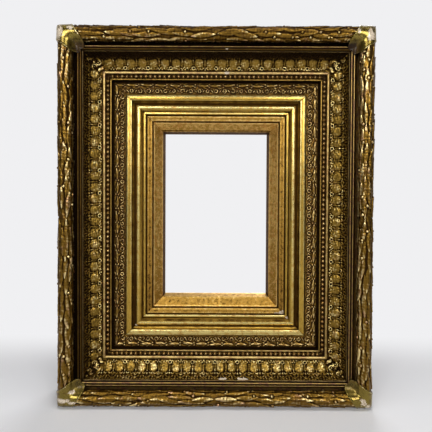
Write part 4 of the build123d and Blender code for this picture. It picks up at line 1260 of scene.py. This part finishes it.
def paleFloor():
    width, front, back = stage["halfWidth"], stage["front"], stage["back"]
    mesh = bpy.data.meshes.new("pale_floor")
    corners = [(-width, front, 0), (width, front, 0), (width, back, 0), (-width, back, 0)]
    mesh.from_pydata(corners, [], [(0, 1, 2, 3)])
    material, tree, shader, place = newMaterial("matPaperFloor")
    fillInputs(tree, shader, {"Base Color": stage["color"], "Roughness": 0.9, "Specular IOR Level": 0.1})
    depth = addNode(tree, "SeparateXYZ", {0: place}, "Y")
    away = addNode(tree, "VectorMath", {0: place}, "Value", operation="LENGTH")
    far, edge = (
        addNode(tree, "MapRange", {
            "Value": value, "From Min": stage[f"{key}From"], "From Max": stage[f"{key}To"],
        }, interpolation_type="SMOOTHSTEP")
        for value, key in ((depth, "fade"), (away, "edge"))
    )
    fade = addNode(tree, "Math", {0: far, 1: edge}, operation="MAXIMUM")
    blend = addNode(tree, "Math", {0: backgroundRays(tree, far), 1: fade}, operation="MULTIPLY")
    glow = addNode(tree, "Emission", {"Color": stage["color"], "Strength": 1.0})
    mixed = addNode(tree, "MixShader", {0: blend, 1: shader.outputs[0], 2: glow})
    fillInputs(tree, tree.nodes["Material Output"], {"Surface": mixed})
    mesh.materials.append(material)
    piece = addObject("pale_floor", mesh)


def studioWorld():
    # a dim room that the gold mirrors, and the pale background that the camera sees
    world = bpy.data.worlds.new("studio")
    world.use_nodes = True
    tree = world.node_tree
    depth = addNode(tree, "SeparateXYZ", {0: addNode(tree, "TexCoord", output="Generated")}, "Y")
    behind = addNode(tree, "MapRange", {
        "Value": depth, "From Min": 0.0, "From Max": stage["worldFadeTo"],
    }, interpolation_type="SMOOTHSTEP")
    seen = backgroundRays(tree, behind)
    fillInputs(tree, tree.nodes["Background"], {
        "Color": addNode(tree, "Mix", {
            "Factor": seen, 6: stage["worldColor"], 7: stage["color"],
        }, 2, data_type="RGBA"),
        "Strength": addNode(tree, "MapRange", {
            "Value": seen, "To Min": stage["worldStrength"], "To Max": 1.0,
        }),
    })
    bpy.context.scene.world = world


paleFloor()
studioWorld()

lamps = {
    "softboxAbove": {"at": (0.0, -0.35, 1.35), "size": (0.9, 0.5), "watts": 6.5},
    "windowLeft": {"at": (-0.50, -1.35, 0.70), "size": (0.45, 0.42), "watts": 7.5},
    "windowRight": {"at": (0.50, -1.35, 0.70), "size": (0.45, 0.42), "watts": 7.5},
    "fillBehind": {"at": (0.35, 1.5, 1.1), "size": (0.8, 0.6), "watts": 14.0},
}
aim = Vector((0, 0, frameHeight / 2 * mm))
for name, lamp in lamps.items():
    light = bpy.data.lights.new(name, "AREA")
    light.shape = "RECTANGLE"
    light.size, light.size_y = lamp["size"]
    light.energy = lamp["watts"]
    holder = addObject(name, light)
    holder.location = lamp["at"]
    holder.rotation_euler = (aim - Vector(lamp["at"])).to_track_quat("-Z", "Y").to_euler()

view = {
    "at": (0.004, -0.5307, 0.2612), "pitch": 1.0, "roll": -0.28, "sensor": 36.0,
    "focal": 427.0, "vanishing": (219.0, 185.9), "size": 432.0,  # in pixels of the photograph
}
camera = bpy.data.cameras.new("camera")
camera.sensor_width = view["sensor"]
camera.lens = view["sensor"] * view["focal"] / view["size"]
camera.shift_x = -(view["vanishing"][0] - view["size"] / 2) / view["size"]
tilt = view["focal"] * math.tan(math.radians(view["pitch"]))
camera.shift_y = -(view["size"] / 2 - view["vanishing"][1] - tilt) / view["size"]
holder = addObject("camera", camera)
holder.location = view["at"]
holder.rotation_euler = (math.radians(90 - view["pitch"]), math.radians(view["roll"]), 0)
bpy.context.scene.camera = holder
bpy.context.scene.view_settings.view_transform = "Standard"
print("stage ready")
